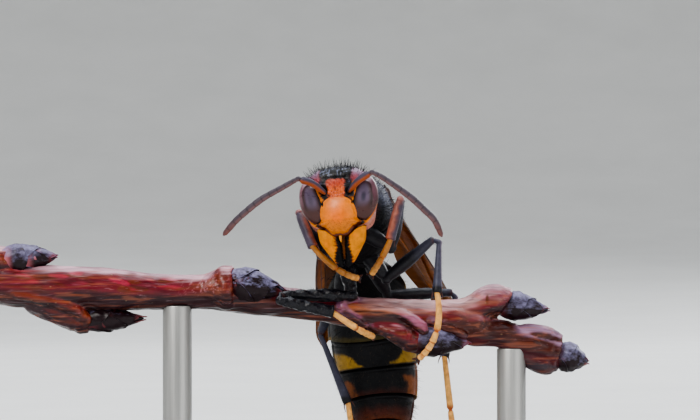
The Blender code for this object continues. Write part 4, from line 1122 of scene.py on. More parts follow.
def body_rings(axis, stations, lengths, turns, grow=0.0, square=2.2):
    """Points round a body at lengths along it and turns round it, grown by an array of heights."""
    place, _, aside, above = axis.at(lengths)
    half_width, half_height = curve_at(stations, lengths)
    across = np.sign(np.cos(turns)) * np.abs(np.cos(turns)) ** (2 / square)
    height = np.sign(np.sin(turns)) * np.abs(np.sin(turns)) ** (2 / square)
    return (place + aside * ((half_width + grow) * across)[..., None]
            + above * ((half_height + grow) * height)[..., None])


def edge_place(edge, height):
    """Where a plate's edge crosses the side of the body, from its places above, beside and below."""
    above, beside, below = edge
    return beside + (np.where(height > 0, above, below) - beside) * np.abs(height) ** 1.3


def thorax_relief(length, turn):
    """How far the thorax stands out of its plain form: seams, furrows, scutellum and the plates' swell."""
    height, across = np.sin(turn), np.cos(turn)
    top = fade(height, 0.35, 0.7)
    collar = edge_place(COLLAR_BACK, height)
    rear = edge_place(PLEURA_BACK, height)
    rise = -0.13 * hump(length, collar, 0.07) + 0.06 * fade(length, collar, collar + 0.25) * top
    rise += 0.05 * hump(length, collar - 0.2, 0.14)
    rise += -0.13 * hump(length, rear, 0.08)
    rise += top * (0.14 * hump(length, 2.3, 0.8) - 0.16 * hump(length, 3.32, 0.07))
    rise += top * (0.16 * hump(length, 3.72, 0.25) * fade(np.abs(across), 0.62, 0.45))
    rise += top * (-0.14 * hump(length, 4.12, 0.06) + 0.07 * hump(length, 4.35, 0.14) - 0.1 * hump(length, 4.62, 0.06))
    rise -= top * 0.05 * hump(across, 0, 0.03) * fade(length, 1.2, 1.5) * fade(length, 2.9, 2.5)
    furrow = 0.36 - 0.05 * (length - 1.4)
    rise -= top * 0.05 * hump(np.abs(across), furrow, 0.03) * fade(length, 1.7, 2.1) * fade(length, 3.25, 3.1)
    rise -= 0.14 * hump(across, 0, 0.14) * top * fade(length, 4.8, 5.3)
    side = fade(np.abs(across), 0.45, 0.7)
    rise -= side * 0.1 * hump(height - 0.35 + 0.5 * (length - 2.4), 0, 0.07) * fade(length, 1.9, 2.3) \
        * fade(length, 3.9, 3.5)
    rise += side * 0.1 * hump(length, 2.8, 0.6) * hump(height, -0.1, 0.3)
    rise -= side * 0.09 * hump(length, 3.75 + 0.4 * height, 0.07) * fade(height, 0.5, 0.2)
    under = fade(-height, 0.55, 0.8)
    rise -= under * 0.1 * hump(across, 0, 0.05)
    return rise


def thorax_skin(rows=250, columns=230):
    length = np.linspace(-0.68, 6.57, rows)[:, None] * np.ones(columns)
    turn = np.ones(rows)[:, None] * turns_of(columns)
    rise = thorax_relief(length, turn)
    points = body_rings(thorax_axis(), THORAX_STATIONS, length, turn, rise)
    rise = rise + 0.012 * rough(points, 0.5, 51) + 0.006 * rough(points, 0.16, 52)
    return body_rings(thorax_axis(), THORAX_STATIONS, length, turn, rise), length, turn


def thorax_tint(points, length, turn):
    paint_box = colours()
    tint = flat_colour(length.shape, paint_box.black)
    waver = 0.1 * rough(points, 0.6, 61)
    lift = fade(np.sin(turn), 0.3, 0.9)
    patchy = fade(rough(points, 0.9, 62) + 0.25 * rough(points, 0.3, 63), -0.6, 0.7)
    # Painted sheen: bluish grey over the down of the upper sides, towards the front
    flank = fade(np.sin(turn) + waver, -0.4, 0.1) * fade(length, 5.2, 3.2)
    tint = mix(tint, linear(88, 92, 114),
               flank * (0.25 + 0.75 * fade(np.abs(np.cos(turn)), 0.3, 0.75)) * (0.45 + 0.55 * patchy) * 0.7)
    tint = mix(tint, linear(58, 42, 38), fade(length + waver, 3.3, 3.5) * fade(length, 4.2, 4.0) * lift * 0.6)
    return mix(tint, linear(70, 48, 40),
               hump(length, edge_place(COLLAR_BACK, np.sin(turn)) - 0.12, 0.1) * 0.5)


def make_thorax():
    points, length, turn = thorax_skin()
    shell = Shell().round(points, thorax_tint(points, length, turn))
    show("thorax_skin", shell, "body", "chitin_black", ["pronotum", "mesothorax", "propodeum"])
    make_tegulae()


def make_tegulae():
    """The small domed scale over each wing's root."""
    shell = Shell()
    for side in SIDES.values():
        place, ahead, aside, above = thorax_axis().at(TEGULA_PLACE[0])
        out = unit(aside * side * 0.75 + above * 0.66)
        dome = ball(20, 36, TEGULA_SIZE)
        dome = dome[..., :1] * np.cross(ahead, out) + dome[..., 1:2] * ahead + dome[..., 2:] * out
        shell.round(place + aside * side * TEGULA_PLACE[1] + above * TEGULA_PLACE[2] + dome, linear(92, 48, 34))
        for kind in WINGS:
            root = wing_point(kind, side, np.array(0.03), np.array(0.3))
            shell.round(limb([(place + (root - place) * 0.6, 0.3), (place + (root - place) * 0.85, 0.26), (root, 0.18),
                              (wing_point(kind, side, np.array(0.09), np.array(0.2)), 0.05)], 6, 16),
                        linear(70, 38, 26))
    show("tegulae", shell, "belly", "chitin_brown")


def segment_grid(index, rows=64, columns=200):
    """One plate ring of the abdomen: tucked under the plate before it, flared at its hind rim, rolled inwards."""
    front, back = SEGMENT_ENDS[index], SEGMENT_ENDS[index + 1]
    last = index == len(SEGMENT_ENDS) - 2
    tuck = 0.0 if index == 0 else 0.35
    share = np.linspace(0, 1, rows)[:, None] * np.ones(columns)
    length = front - tuck + (back - front + tuck) * share
    turn = np.ones(rows)[:, None] * turns_of(columns)
    height = np.sin(turn)
    inside = fade(length, front + 0.25, front - 0.2) if index else np.zeros(length.shape)
    local = np.clip((length - front) / (back - front), 0, 1)
    step = 0.0 if last else 0.09
    grow = step * local**2 - 0.036 * (1 - local) - 0.16 * inside
    grow -= 0.045 * hump(height, -0.3, 0.045) * fade(np.abs(np.cos(turn)), 0.2, 0.5) * fade(local, 0.0, 0.2)
    grow += 0.03 * hump(height, -0.16, 0.08) * fade(local, 0.0, 0.2)
    grow -= 0.03 * hump(local, 0.16, 0.03) * (0 if last else 1)
    axis = abdomen_axis()
    points = body_rings(axis, ABDOMEN_STATIONS, length, turn, grow, 2.0)
    points += unit(points - axis.at(length)[0]) * (0.008 * rough(points, 0.5, 71 + index))[..., None]
    if not last:
        rim_length = np.full((1, columns), back)
        rolled = [body_rings(axis, ABDOMEN_STATIONS, rim_length - 0.02, turn[:1], step - 0.035, 2.0),
                  body_rings(axis, ABDOMEN_STATIONS, rim_length - 0.12, turn[:1], step - 0.09, 2.0),
                  body_rings(axis, ABDOMEN_STATIONS, rim_length - 0.5, turn[:1], step - 0.3, 2.0)]
        points = np.concatenate([points] + rolled)
        length = np.concatenate([length, rim_length, rim_length - 0.1, rim_length - 0.4])
        turn = np.concatenate([turn] + [turn[:1]] * 3)
    return points, length, turn


def abdomen_tint(index, points, length, turn):
    """The abdomen's markings, plate by plate, above and below."""
    paint_box = colours()
    front, back = SEGMENT_ENDS[index], SEGMENT_ENDS[index + 1]
    height, across = np.sin(turn), np.cos(turn)
    waver = 0.09 * rough(points, 0.7, 81 + index) + 0.03 * rough(points, 0.2, 82)
    above = fade(height + waver, -0.35, -0.22)
    below = 1 - above
    tint = flat_colour(length.shape, paint_box.black)
    if index in (0, 1, 2):
        band = fade(length + waver * 0.5, back - (0.22, 0.26, 0.2)[index], back - 0.14)
        band *= fade(height, -0.9, -0.3)
        tint = mix(tint, paint_box.band, band * above * (0.8, 0.45, 0.8)[index])
    if index == 1:
        tint = mix(tint, linear(88, 76, 30), below * fade(length + waver, back - 0.5, back - 0.2) * 0.5)
    if index == 2:
        inner = 0.24 + 0.3 * (back - length)
        patch = fade(np.abs(across) + waver, inner, inner + 0.14)
        patch = patch * fade(length, back - 1.5, back - 1.1) * fade(length + waver * 0.4, back - 0.02, back - 0.22)
        tint = mix(tint, paint_box.band, below * patch)
    if index == 3:
        tint = mix(tint, paint_box.saddle, above)
        wedge = fade(front + 1.5 - length + waver - 1.15 * np.abs(across), -0.1, 0.1) * fade(height, 0.0, 0.3)
        tint = mix(tint, paint_box.black, wedge)
        tint = mix(tint, paint_box.band, above * fade(length + waver, back - 0.4, back - 0.1) * 0.7)
        edge = fade(np.abs(across) + waver, 0.62, 0.8)
        tint = mix(tint, paint_box.saddle, below * edge * fade(length + waver, front + 0.6, front + 1.0))
        tint = mix(tint, paint_box.rear,
                   below * (1 - edge) * fade(length + waver, front + 1.5, front + 2.1) * 0.5)
    if index >= 4:
        tint = mix(tint, paint_box.rear,
                   0.85 * above + below * fade(length + waver, front + 0.6, front + 1.3) * 0.9)
        tint = mix(tint, linear(110, 56, 28), fade(length + waver, back - 0.5, back - 0.1) * 0.5)
    return tint


def make_abdomen():
    for index in range(len(SEGMENT_ENDS) - 1):
        points, length, turn = segment_grid(index)
        shell = Shell().round(points, abdomen_tint(index, points, length, turn))
        name = f"abdomen_plate_{index + 1}"
        show(name, shell, "belly", SEGMENT_SLOTS[index], [f"abdomen_{index + 1}"])
    axis = abdomen_axis()
    path = axis.at(np.linspace(-0.3, 1.5, 24))[0]
    radii = np.interp(np.linspace(-0.3, 1.5, 24), (-0.3, 0.1, 0.5, 0.9, 1.5), (0.5, 0.4, 0.34, 0.42, 0.6))
    shell = Shell().round(tube(path, radii, 40), colours().black)
    show("waist", shell, "belly", "chitin_black", ["petiole"])


# Wings


def wing_chord(share):
    swell = np.minimum(1.0, 0.16 + 1.25 * share)
    tip = np.where(share > 0.55, np.maximum(0.0, 1 - ((np.maximum(share, 0.55) - 0.55) / 0.45) ** 3), 1.0)
    return swell * (0.22 + 0.78 * tip**0.6)


def wing_frame(side):
    """The wing's root, and its directions along, inwards and up."""
    place, _, aside, above = thorax_axis().at(WING_ROOT[0])
    ahead = unit(np.array(WAIST) - NECK)
    outward = aside * side
    spread = WING_SPREAD["left" if side == LEFT else "right"]
    span = ahead * math.cos(spread) + outward * math.sin(spread)
    inward = -outward * math.cos(WING_ROLL) + above * math.sin(WING_ROLL)
    inward = unit(inward - span * (inward @ span))
    lift = np.cross(inward, span)
    return place + outward * WING_ROOT[1] + above * WING_ROOT[2], span, inward, lift * np.sign(lift @ above)


def wing_point(kind, side, share, across, height=0.0):
    """A place on a wing from its root to its tip and from its front edge to its hind edge."""
    size = WINGS[kind]
    root, span, inward, lift = wing_frame(side)
    full = wing_chord(share) * size["chord"]
    chord = full * np.sqrt(1 - np.clip((share - 0.88) / 0.12, 0, 0.999) ** 2)
    start = 0.5 * hump(share, 0.55, 0.25) + 0.6 * hump(share, 0.9, 0.2) - 0.35 * (full - chord)
    bend = WING_CROWN * (1 - (2 * across - 1) ** 2) - WING_SAG * (share * size["length"]) ** 2
    bend = bend + height - size["below"]
    return (root + span * (size["length"] * share)[..., None] + inward * (across * chord - start)[..., None]
            + lift * bend[..., None])


# Veins: half width as a share of the thickest, then places along and across the wing
VEINS = {
    "forewing": [
        (1.0, [(0.0, 0.3), (0.05, 0.06), (0.3, 0.02), (0.6, 0.02), (0.72, 0.03), (0.9, 0.1), (0.965, 0.3)]),
        (0.8, [(0.0, 0.35), (0.08, 0.16), (0.35, 0.1), (0.56, 0.1), (0.62, 0.03)]),
        (0.7, [(0.02, 0.4), (0.2, 0.3), (0.375, 0.26), (0.5, 0.25), (0.7, 0.22), (0.9, 0.2)]),
        (0.6, [(0.02, 0.5), (0.2, 0.5), (0.375, 0.5), (0.6, 0.52), (0.83, 0.5), (0.93, 0.55)]),
        (0.6, [(0.02, 0.62), (0.15, 0.72), (0.35, 0.78), (0.58, 0.76), (0.8, 0.86)]),
        (0.5, [(0.375, 0.26), (0.38, 0.5)]), (0.5, [(0.58, 0.25), (0.6, 0.52), (0.58, 0.76)]),
        (0.5, [(0.71, 0.03), (0.7, 0.22), (0.715, 0.51)]), (0.5, [(0.83, 0.21), (0.83, 0.5)]),
        (0.45, [(0.56, 0.1), (0.58, 0.25)]), (1.6, [(0.6, 0.045), (0.64, 0.05), (0.69, 0.045)]),
    ],
    "hindwing": [
        (0.8, [(0.0, 0.3), (0.06, 0.05), (0.4, 0.03), (0.62, 0.05), (0.9, 0.2)]),
        (0.6, [(0.02, 0.5), (0.3, 0.5), (0.6, 0.5), (0.8, 0.52)]),
        (0.5, [(0.02, 0.65), (0.2, 0.8), (0.5, 0.84), (0.73, 0.9)]),
        (0.45, [(0.6, 0.05), (0.6, 0.5)]), (0.45, [(0.73, 0.1), (0.73, 0.52), (0.72, 0.88)]),
    ],
}


def membrane(kind, side, rows=130, columns=46):
    """A wing's sheet; the forewing's hind half is folded back under its front half."""
    fold = 1.5 if kind == "forewing" else 1.0
    rows = 1 - np.linspace(0.988, 0.0, rows) ** 1.5
    share, across = np.meshgrid(rows * 0.998, np.linspace(0.0, fold, columns), indexing="ij")
    under = fade(across, 1.0, 1.12)
    flat = np.where(across > 1.0, 2.0 - across, across)
    height = 0.03 - 0.15 * under - 0.05 * np.maximum(0, across - 1.1)
    height = height + 0.022 * np.sin(across * 16 + share * 5) * fade(share, 0.02, 0.2)
    points = wing_point(kind, side, share, flat, height)
    points += wing_frame(side)[3] * (0.012 * rough(points, 1.2, 91))[..., None]
    tint = flat_colour(share.shape, colours().wing)
    tint = mix(tint, colours().vein, fade(share, 0.12, 0.0) * 0.7)
    tint = mix(tint, colours().vein, fade(flat, 0.12, 0.02) * 0.45)
    return points, mix(tint, linear(104, 58, 24), fade(share + 0.1 * flat, 0.6, 1.0) * 0.6)


def new_group(name, **inputs):
    """A geometry tree that takes and gives a geometry, and the sockets that it takes."""
    tree = bpy.data.node_groups.new(name, "GeometryNodeTree")
    for label, kind in {"Geometry": "Geometry", **inputs}.items():
        tree.interface.new_socket(label, in_out="INPUT", socket_type=f"NodeSocket{kind}")
    tree.interface.new_socket("Geometry", in_out="OUTPUT", socket_type="NodeSocketGeometry")
    return tree, wire(tree, "NodeGroupInput").outputs


def vein_tree():
    """Gives each line of a curve a round body, as wide as the line's own radius."""
    tree, given = new_group("Veins", Width="Float", Material="Material")
    ring = wire(tree, "GeometryNodeCurvePrimitiveCircle", {"Resolution": 8, "Radius": given["Width"]})
    radius = wire(tree, "GeometryNodeInputRadius").outputs[0]
    solid = wire(tree, "GeometryNodeCurveToMesh", {
        "Curve": given["Geometry"], "Profile Curve": ring.outputs["Curve"], "Fill Caps": True})
    if "Scale" in solid.inputs:
        tree.links.new(radius, solid.inputs["Scale"])
    whole = wire(tree, "GeometryNodeRealizeInstances", {"Geometry": solid.outputs["Mesh"]})
    painted = wire(tree, "GeometryNodeSetMaterial", {"Geometry": whole.outputs[0], "Material": given["Material"]})
    wire(tree, "NodeGroupOutput", {0: painted.outputs[0]})
    return tree


def run_tree(name, data, tree, values):
    """Runs a node tree on an object's data and returns the plain mesh that it makes."""
    holder = bpy.data.objects.new(name, data)
    bpy.context.scene.collection.objects.link(holder)
    modifier = holder.modifiers.new("tree", "NODES")
    modifier.node_group = tree
    for item in tree.interface.items_tree:
        if item.in_out == "INPUT" and item.name in values:
            modifier[item.identifier] = values[item.name]
    graph = bpy.context.evaluated_depsgraph_get()
    mesh = bpy.data.meshes.new_from_object(holder.evaluated_get(graph))
    mesh.name = name
    holder.modifiers.remove(modifier)
    bpy.data.objects.remove(holder)
    return mesh


def vein_lines(kind, side):
    """A wing's veins as a curve: one line each, thinner towards its end."""
    lines = bpy.data.curves.new("veins", "CURVE")
    lines.dimensions = "3D"
    for width, knots in VEINS[kind]:
        path = smooth_path(knots, 10)
        places = (wing_point(kind, side, path[:, 0], path[:, 1], 0.035) + TWIG_PLACE) * MM
        line = lines.splines.new("POLY")
        line.points.add(len(places) - 1)
        taper = np.linspace(1.0, 0.7 if len(knots) > 3 else 0.95, len(places))
        for knot, place, share in zip(line.points, places, taper):
            knot.co = (*place, 1.0)
            knot.radius = width * share
    return lines


def make_wings():
    tree = vein_tree()
    for kind in WINGS:
        for name, side in SIDES.items():
            points, tint = membrane(kind, side)
            shell = Shell().slab(points, tint, sizes().membrane / MM)
            piece = f"{kind}_{name}_membrane"
            show(piece, shell, "wing", "wing_amber", [f"{kind}_{name}"], 60)
            veins = run_tree(f"{kind}_{name}_veins", vein_lines(kind, side), tree,
                             {"Width": sizes().vein_width, "Material": finish("vein")})
            paint(veins, flat_colour((len(veins.vertices),), colours().vein))
            veins.shade_smooth()
            show(f"{kind}_{name}_veins", veins, "vein", "wing_amber")


# Legs


def leg_points(name):
    return [np.array(point) for point in LEGS[name]]


def knee_ends(fork, knee, ankle):
    """Where the thigh ends and where the shin starts, side by side at a sharp knee."""
    back, down = unit(fork - knee), unit(ankle - knee)
    offset = (KNEE_RADIUS + TIBIA_ROOT_RADIUS + KNEE_GAP) / 2 * (0.56 + 0.42 * (back @ down))
    apart = unit(down - back) * max(offset, 0.12)
    return knee - apart, knee + apart


def thigh_knots(name):
    hip, fork, knee, ankle = leg_points(name)[:4]
    end = knee_ends(fork, knee, ankle)[0]
    inside = thorax_axis().at(3.0)[3] * 0.9
    along = end - fork
    return [(hip + inside, COXA_RADIUS), (hip, COXA_RADIUS), (hip + (fork - hip) * 0.55, COXA_RADIUS * 0.88),
            (hip + (fork - hip) * 0.82, 0.37), (hip + (fork - hip) * 0.9, 0.3), (fork, 0.34),
            (fork + along * 0.06, 0.3), (fork + along * 0.16, 0.35), (fork + along * 0.4, FEMUR_RADIUS * 1.04),
            (fork + along * 0.62, 0.35), (fork + along * 0.8, 0.29), (fork + along * 0.93, 0.25),
            (end, KNEE_RADIUS * 0.88), (end + unit(along) * 0.1, 0.1)]


def shin_knots(name):
    fork, knee, ankle = leg_points(name)[1:4]
    start = knee_ends(fork, knee, ankle)[1]
    along = ankle - start
    stout = ((0.0, TIBIA_ROOT_RADIUS * 0.95), (0.05, 0.22), (0.15, 0.28), (0.5, TIBIA_RADIUS), (0.9, 0.31),
             (0.97, 0.32), (1.0, 0.22))
    slim = ((0.0, 0.18), (0.05, 0.165), (0.2, 0.18), (0.5, 0.22), (0.8, 0.275), (0.94, 0.3), (0.985, 0.28), (1.0, 0.2))
    radii = slim if name in SLIM_LEGS else stout
    stretch = 1.15 if name == WET_LEG else 1.0
    bent = knee_ends(fork, knee, ankle)[0]
    return [(bent, 0.1), ((bent + start) / 2, 0.15)] + [
        (start + along * place, radius * stretch) for place, radius in radii]


def foot_point(name, share):
    """A point of the foot's bend, from ankle to claw."""
    ankle, bend, claw = leg_points(name)[3:6]
    share = np.asarray(share, float)[..., None]
    return ankle * (1 - share) ** 2 + bend * 2 * share * (1 - share) + claw * share**2


def foot_joint(share):
    """Which of the five joints a share of the foot lies on, and how far along that joint."""
    ends = np.array(TARSUS_SHARES)
    joint = np.clip(np.searchsorted(ends, share) - 1, 0, 4)
    return joint, (share - ends[joint]) / (ends[joint + 1] - ends[joint])


def lumpy(rings, size, amount, seed):
    """Rings pushed in and out at random."""
    middle = rings.mean(1, keepdims=True)
    return middle + (rings - middle) * (1 + amount * rough(rings, size, seed)[..., None])


def leg_tint(name, part, points):
    """A leg's colours: dark above with painted slate sheen, the fore shins reddish on their inner side, the feet
    yellow.
    """
    paint_box = colours()
    tint = flat_colour(points.shape[:-1], linear(18, 17, 26))
    waver = 0.3 * rough(points, 0.8, 101)
    sheen_slate = linear(70, 70, 88)
    if part == "thigh":
        knee = np.linalg.norm(points - leg_points(name)[2], axis=-1)
        # Painted sheen: slate-blue on the black thigh towards the knee
        if name != WET_LEG:
            tint = mix(tint, sheen_slate, fade(knee + waver, 2.2, 0.6) * 0.6)
        tint = mix(tint, linear(96, 50, 40), fade(knee + waver * 0.3, 0.45, 0.2) * 0.4)
    if part == "shin":
        knee, ankle = leg_points(name)[2:4]
        along = np.clip((points - knee) @ (ankle - knee) / ((ankle - knee) @ (ankle - knee)), 0, 1)
        off = points - knee - along[..., None] * (ankle - knee)
        inner = -np.sign(knee[0]) * off[..., 0] / TIBIA_RADIUS - 0.4 * off[..., 1] / TIBIA_RADIUS
        if name.startswith("fore"):
            tint = mix(flat_colour(along.shape, linear(74, 64, 80)), paint_box.shin,
                       fade(inner + waver, -0.15, 0.7) * (0.55 + 0.45 * fade(along, 0.1, 0.7)))
            tint = mix(tint, linear(206, 128, 104),
                       fade(inner + waver, 0.35, 0.8) * hump(along, 0.45, 0.3) * 0.45)
            tint = mix(tint, linear(184, 88, 44),
                       fade(inner + waver, 0.5, 1.0) * fade(along, 0.7, 0.95) * 0.5)
            tint = mix(tint, linear(196, 130, 120), fade(along, 0.1, 0.0) * 0.6)
        elif name != WET_LEG:
            # Painted sheen: slate-blue over most of the shin; painted highlight: a lilac edge near the ankle
            tint = mix(tint, sheen_slate, fade(along + waver * 0.1, 0.93, 0.86) * 0.85)
            tint = mix(tint, linear(150, 128, 146), fade(-inner, 0.3, 0.9) * fade(along, 0.95, 0.8) * 0.45)
    return tint


def foot_rings(name, rows=220, sides=24):
    """The foot's five joints as one row of rings, and its colours."""
    share = np.linspace(-0.035, 0.99, rows)
    joint, local = foot_joint(np.maximum(share, 0.0))
    radius = TARSUS_RADIUS * (0.78 + 0.24 * local**0.8) * (1 - 0.45 * fade(local, 0.93, 1.0))
    radius *= 1 - 0.3 * fade(local, 0.1, 0.0) * (joint > 0)
    radius *= 1 - 0.5 * fade(share, 0.97, 1.0)
    rings = tube(foot_point(name, share), radius, sides)
    paint_box = colours()
    tint = flat_colour(rings.shape[:2], paint_box.foot)
    if name.startswith("fore"):
        tint = mix(tint, linear(118, 66, 22), fade(share, 0.95, 0.6)[:, None] * 0.75)
    ring = np.maximum(fade(local, 0.84, 0.98), fade(local, 0.1, 0.0) * (joint > 0))
    waver = 0.25 * rough(rings, 0.5, 111)
    tint = mix(tint, paint_box.joint, np.clip(ring[:, None] * (0.85 + waver), 0, 1))
    return rings, mix(tint, paint_box.joint, fade(waver, 0.05, 0.3) * 0.35)


def make_foot(name):
    rings, tint = foot_rings(name)
    if name.startswith("fore"):
        tint = mix(tint, linear(176, 112, 34), 0.4)
    shell = Shell().round(rings, tint)
    toe = foot_point(name, 1.0)
    ahead = unit(toe - foot_point(name, 0.9))
    aside = np.cross(ahead, (0, 1, 0))
    aside = unit(aside if np.linalg.norm(aside) > 0.3 else np.cross(ahead, (1, 0, 0)))
    under = np.cross(ahead, aside) * (1 if np.cross(ahead, aside) @ (0.0, 1.0, -0.3) > 0 else -1)
    for side in (1, -1):
        spread = aside * side
        claw = limb([(toe - ahead * 0.12, 0.08), (toe + ahead * 0.07 + spread * 0.1, 0.08),
                     (toe + ahead * 0.2 + spread * 0.2, 0.06),
                     (toe + ahead * 0.31 + spread * 0.24 + under * 0.05, 0.036),
                     (toe + ahead * 0.36 + spread * 0.24 + under * 0.13, 0.012)], 8, 12)
        shell.round(claw, linear(74, 34, 24))
    pad = limb([(toe - ahead * 0.05, 0.1), (toe + ahead * 0.1, 0.13), (toe + ahead * 0.22, 0.06)], 8, 16)
    shell.round(pad, linear(56, 40, 40))
    show(f"foot_{name}", shell, "leg", "chitin_yellow", [f"leg_{name}_tarsus"])


def make_shin(name):
    rings = limb(shin_knots(name), 26, 30)
    if name == WET_LEG:
        rings = lumpy(rings, 0.4, 0.16, 122) + (0, 0, 0.07)
    shell = Shell().round(rings, leg_tint(name, "shin", rings))
    knee, ankle = leg_points(name)[2:4]
    ahead = unit(ankle - knee)
    aside = unit(np.cross(ahead, (0, 1, 0)))
    spurs = ((1, 0.4),) if name.startswith("fore") else ((1, 0.38), (-1, 0.48))
    for side, length in spurs:
        root = ankle - ahead * 0.1 + aside * side * 0.22
        tip = ankle + ahead * length + aside * side * 0.34
        spur = limb([(root, 0.045), ((root + tip) / 2 + aside * side * 0.03, 0.036), (tip, 0.01)], 8, 10)
        shell.round(spur, linear(84, 50, 46))
    slot = "chitin_orange" if name.startswith("fore") else "chitin_black"
    style = "wet_leg" if name == WET_LEG else "leg"
    show(f"shin_{name}", shell, style, slot, [f"leg_{name}_tibia"])


def make_legs():
    for name in LEGS:
        wet = name == WET_LEG
        rings = lumpy(limb(thigh_knots(name), 14, 32), 0.45, 0.15 if wet else 0.04, 121) + (0, 0, -0.05 * wet)
        shell = Shell().round(rings, leg_tint(name, "thigh", rings))
        style = "wet_leg" if wet else "leg"
        show(f"thigh_{name}", shell, style, "chitin_black", [f"leg_{name}_femur"])
        make_shin(name)
        make_foot(name)


# Coats

HAIR_SPREAD, HAIR_SHORTEST, HAIR_BEND = 0.32, 0.55, 0.22  # each as a share of a hair's length
TUFT_PATCH = 0.003  # width of one hair's patch on its coat's map


class CoatBed:
    """The skin that a coat grows from: grids with hair density, length, direction, colour and an unwrap."""

    def __init__(self, tiles):
        self.tiles, self.beds = tiles, []

    def add(self, points, density, length, lean, tint):
        """Adds rings; density is hairs a square millimetre, and lean a direction that pulls the hairs over."""
        out = unit(points - points.mean(1, keepdims=True))
        normals = sheet_normals(points, True)
        normals *= np.where((normals * out).sum(-1).mean() > 0, 1, -1)
        aim = unit(normals + np.asarray(lean))
        shape = points.shape[:2]
        self.beds.append((points - normals * 0.02, np.broadcast_to(density, shape) * 1e6,
                          np.broadcast_to(length, shape) * MM, aim, tint))

    def mesh(self):
        faces, unwrap, first = [], [], 0
        for number, (points, *_) in enumerate(self.beds):
            rows, columns = points.shape[:2]
            faces += ring_faces(rows, columns, first)[2]
            row, column = np.meshgrid(np.arange(rows - 1), np.arange(columns), indexing="ij")
            corners = np.stack([np.stack([column + a, row + b], -1) for a, b in ((0, 0), (1, 0), (1, 1), (0, 1))], 2)
            corner = (number % self.tiles, number // self.tiles)
            unwrap.append(((corners / (columns, rows) * 0.94 + 0.03 + corner) / self.tiles).reshape(-1, 2))
            first += rows * columns
        mesh = bpy.data.meshes.new("bed")
        places = np.concatenate([bed[0].reshape(-1, 3) for bed in self.beds])
        mesh.from_pydata(((places + TWIG_PLACE) * MM).tolist(), [], faces)
        for name, kind, slot, part in (("density", "FLOAT", "value", 1), ("reach", "FLOAT", "value", 2),
                                       ("aim", "FLOAT_VECTOR", "vector", 3)):
            values = np.concatenate([bed[part].reshape(-1) for bed in self.beds]).astype(np.float32)
            mesh.attributes.new(name, kind, "POINT").data.foreach_set(slot, values)
        paint(mesh, np.concatenate([bed[4].reshape(-1, 3) for bed in self.beds]))
        root = mesh.attributes.new("root_uv", "FLOAT2", "CORNER")
        root.data.foreach_set("vector", np.concatenate(unwrap).astype(np.float32).ravel())
        return mesh


def named(tree, name, kind):
    return wire(tree, "GeometryNodeInputNamedAttribute", {"Name": name}, data_type=kind).outputs["Attribute"]


def random_value(tree, low, high, seed, kind="FLOAT"):
    made = wire(tree, "FunctionNodeRandomValue", data_type=kind)
    sockets = [socket for socket in made.inputs if socket.enabled]
    sockets[0].default_value, sockets[1].default_value = low, high
    tree.links.new(seed, made.inputs["Seed"])
    return next(socket for socket in made.outputs if socket.enabled)


def vector_sum(tree, first, second, scale=None):
    """First plus second, or plus second times a number."""
    if scale is not None:
        second = wire(tree, "ShaderNodeVectorMath", {0: second, "Scale": scale}, operation="SCALE").outputs[0]
    return wire(tree, "ShaderNodeVectorMath", {0: first, 1: second}, operation="ADD").outputs[0]


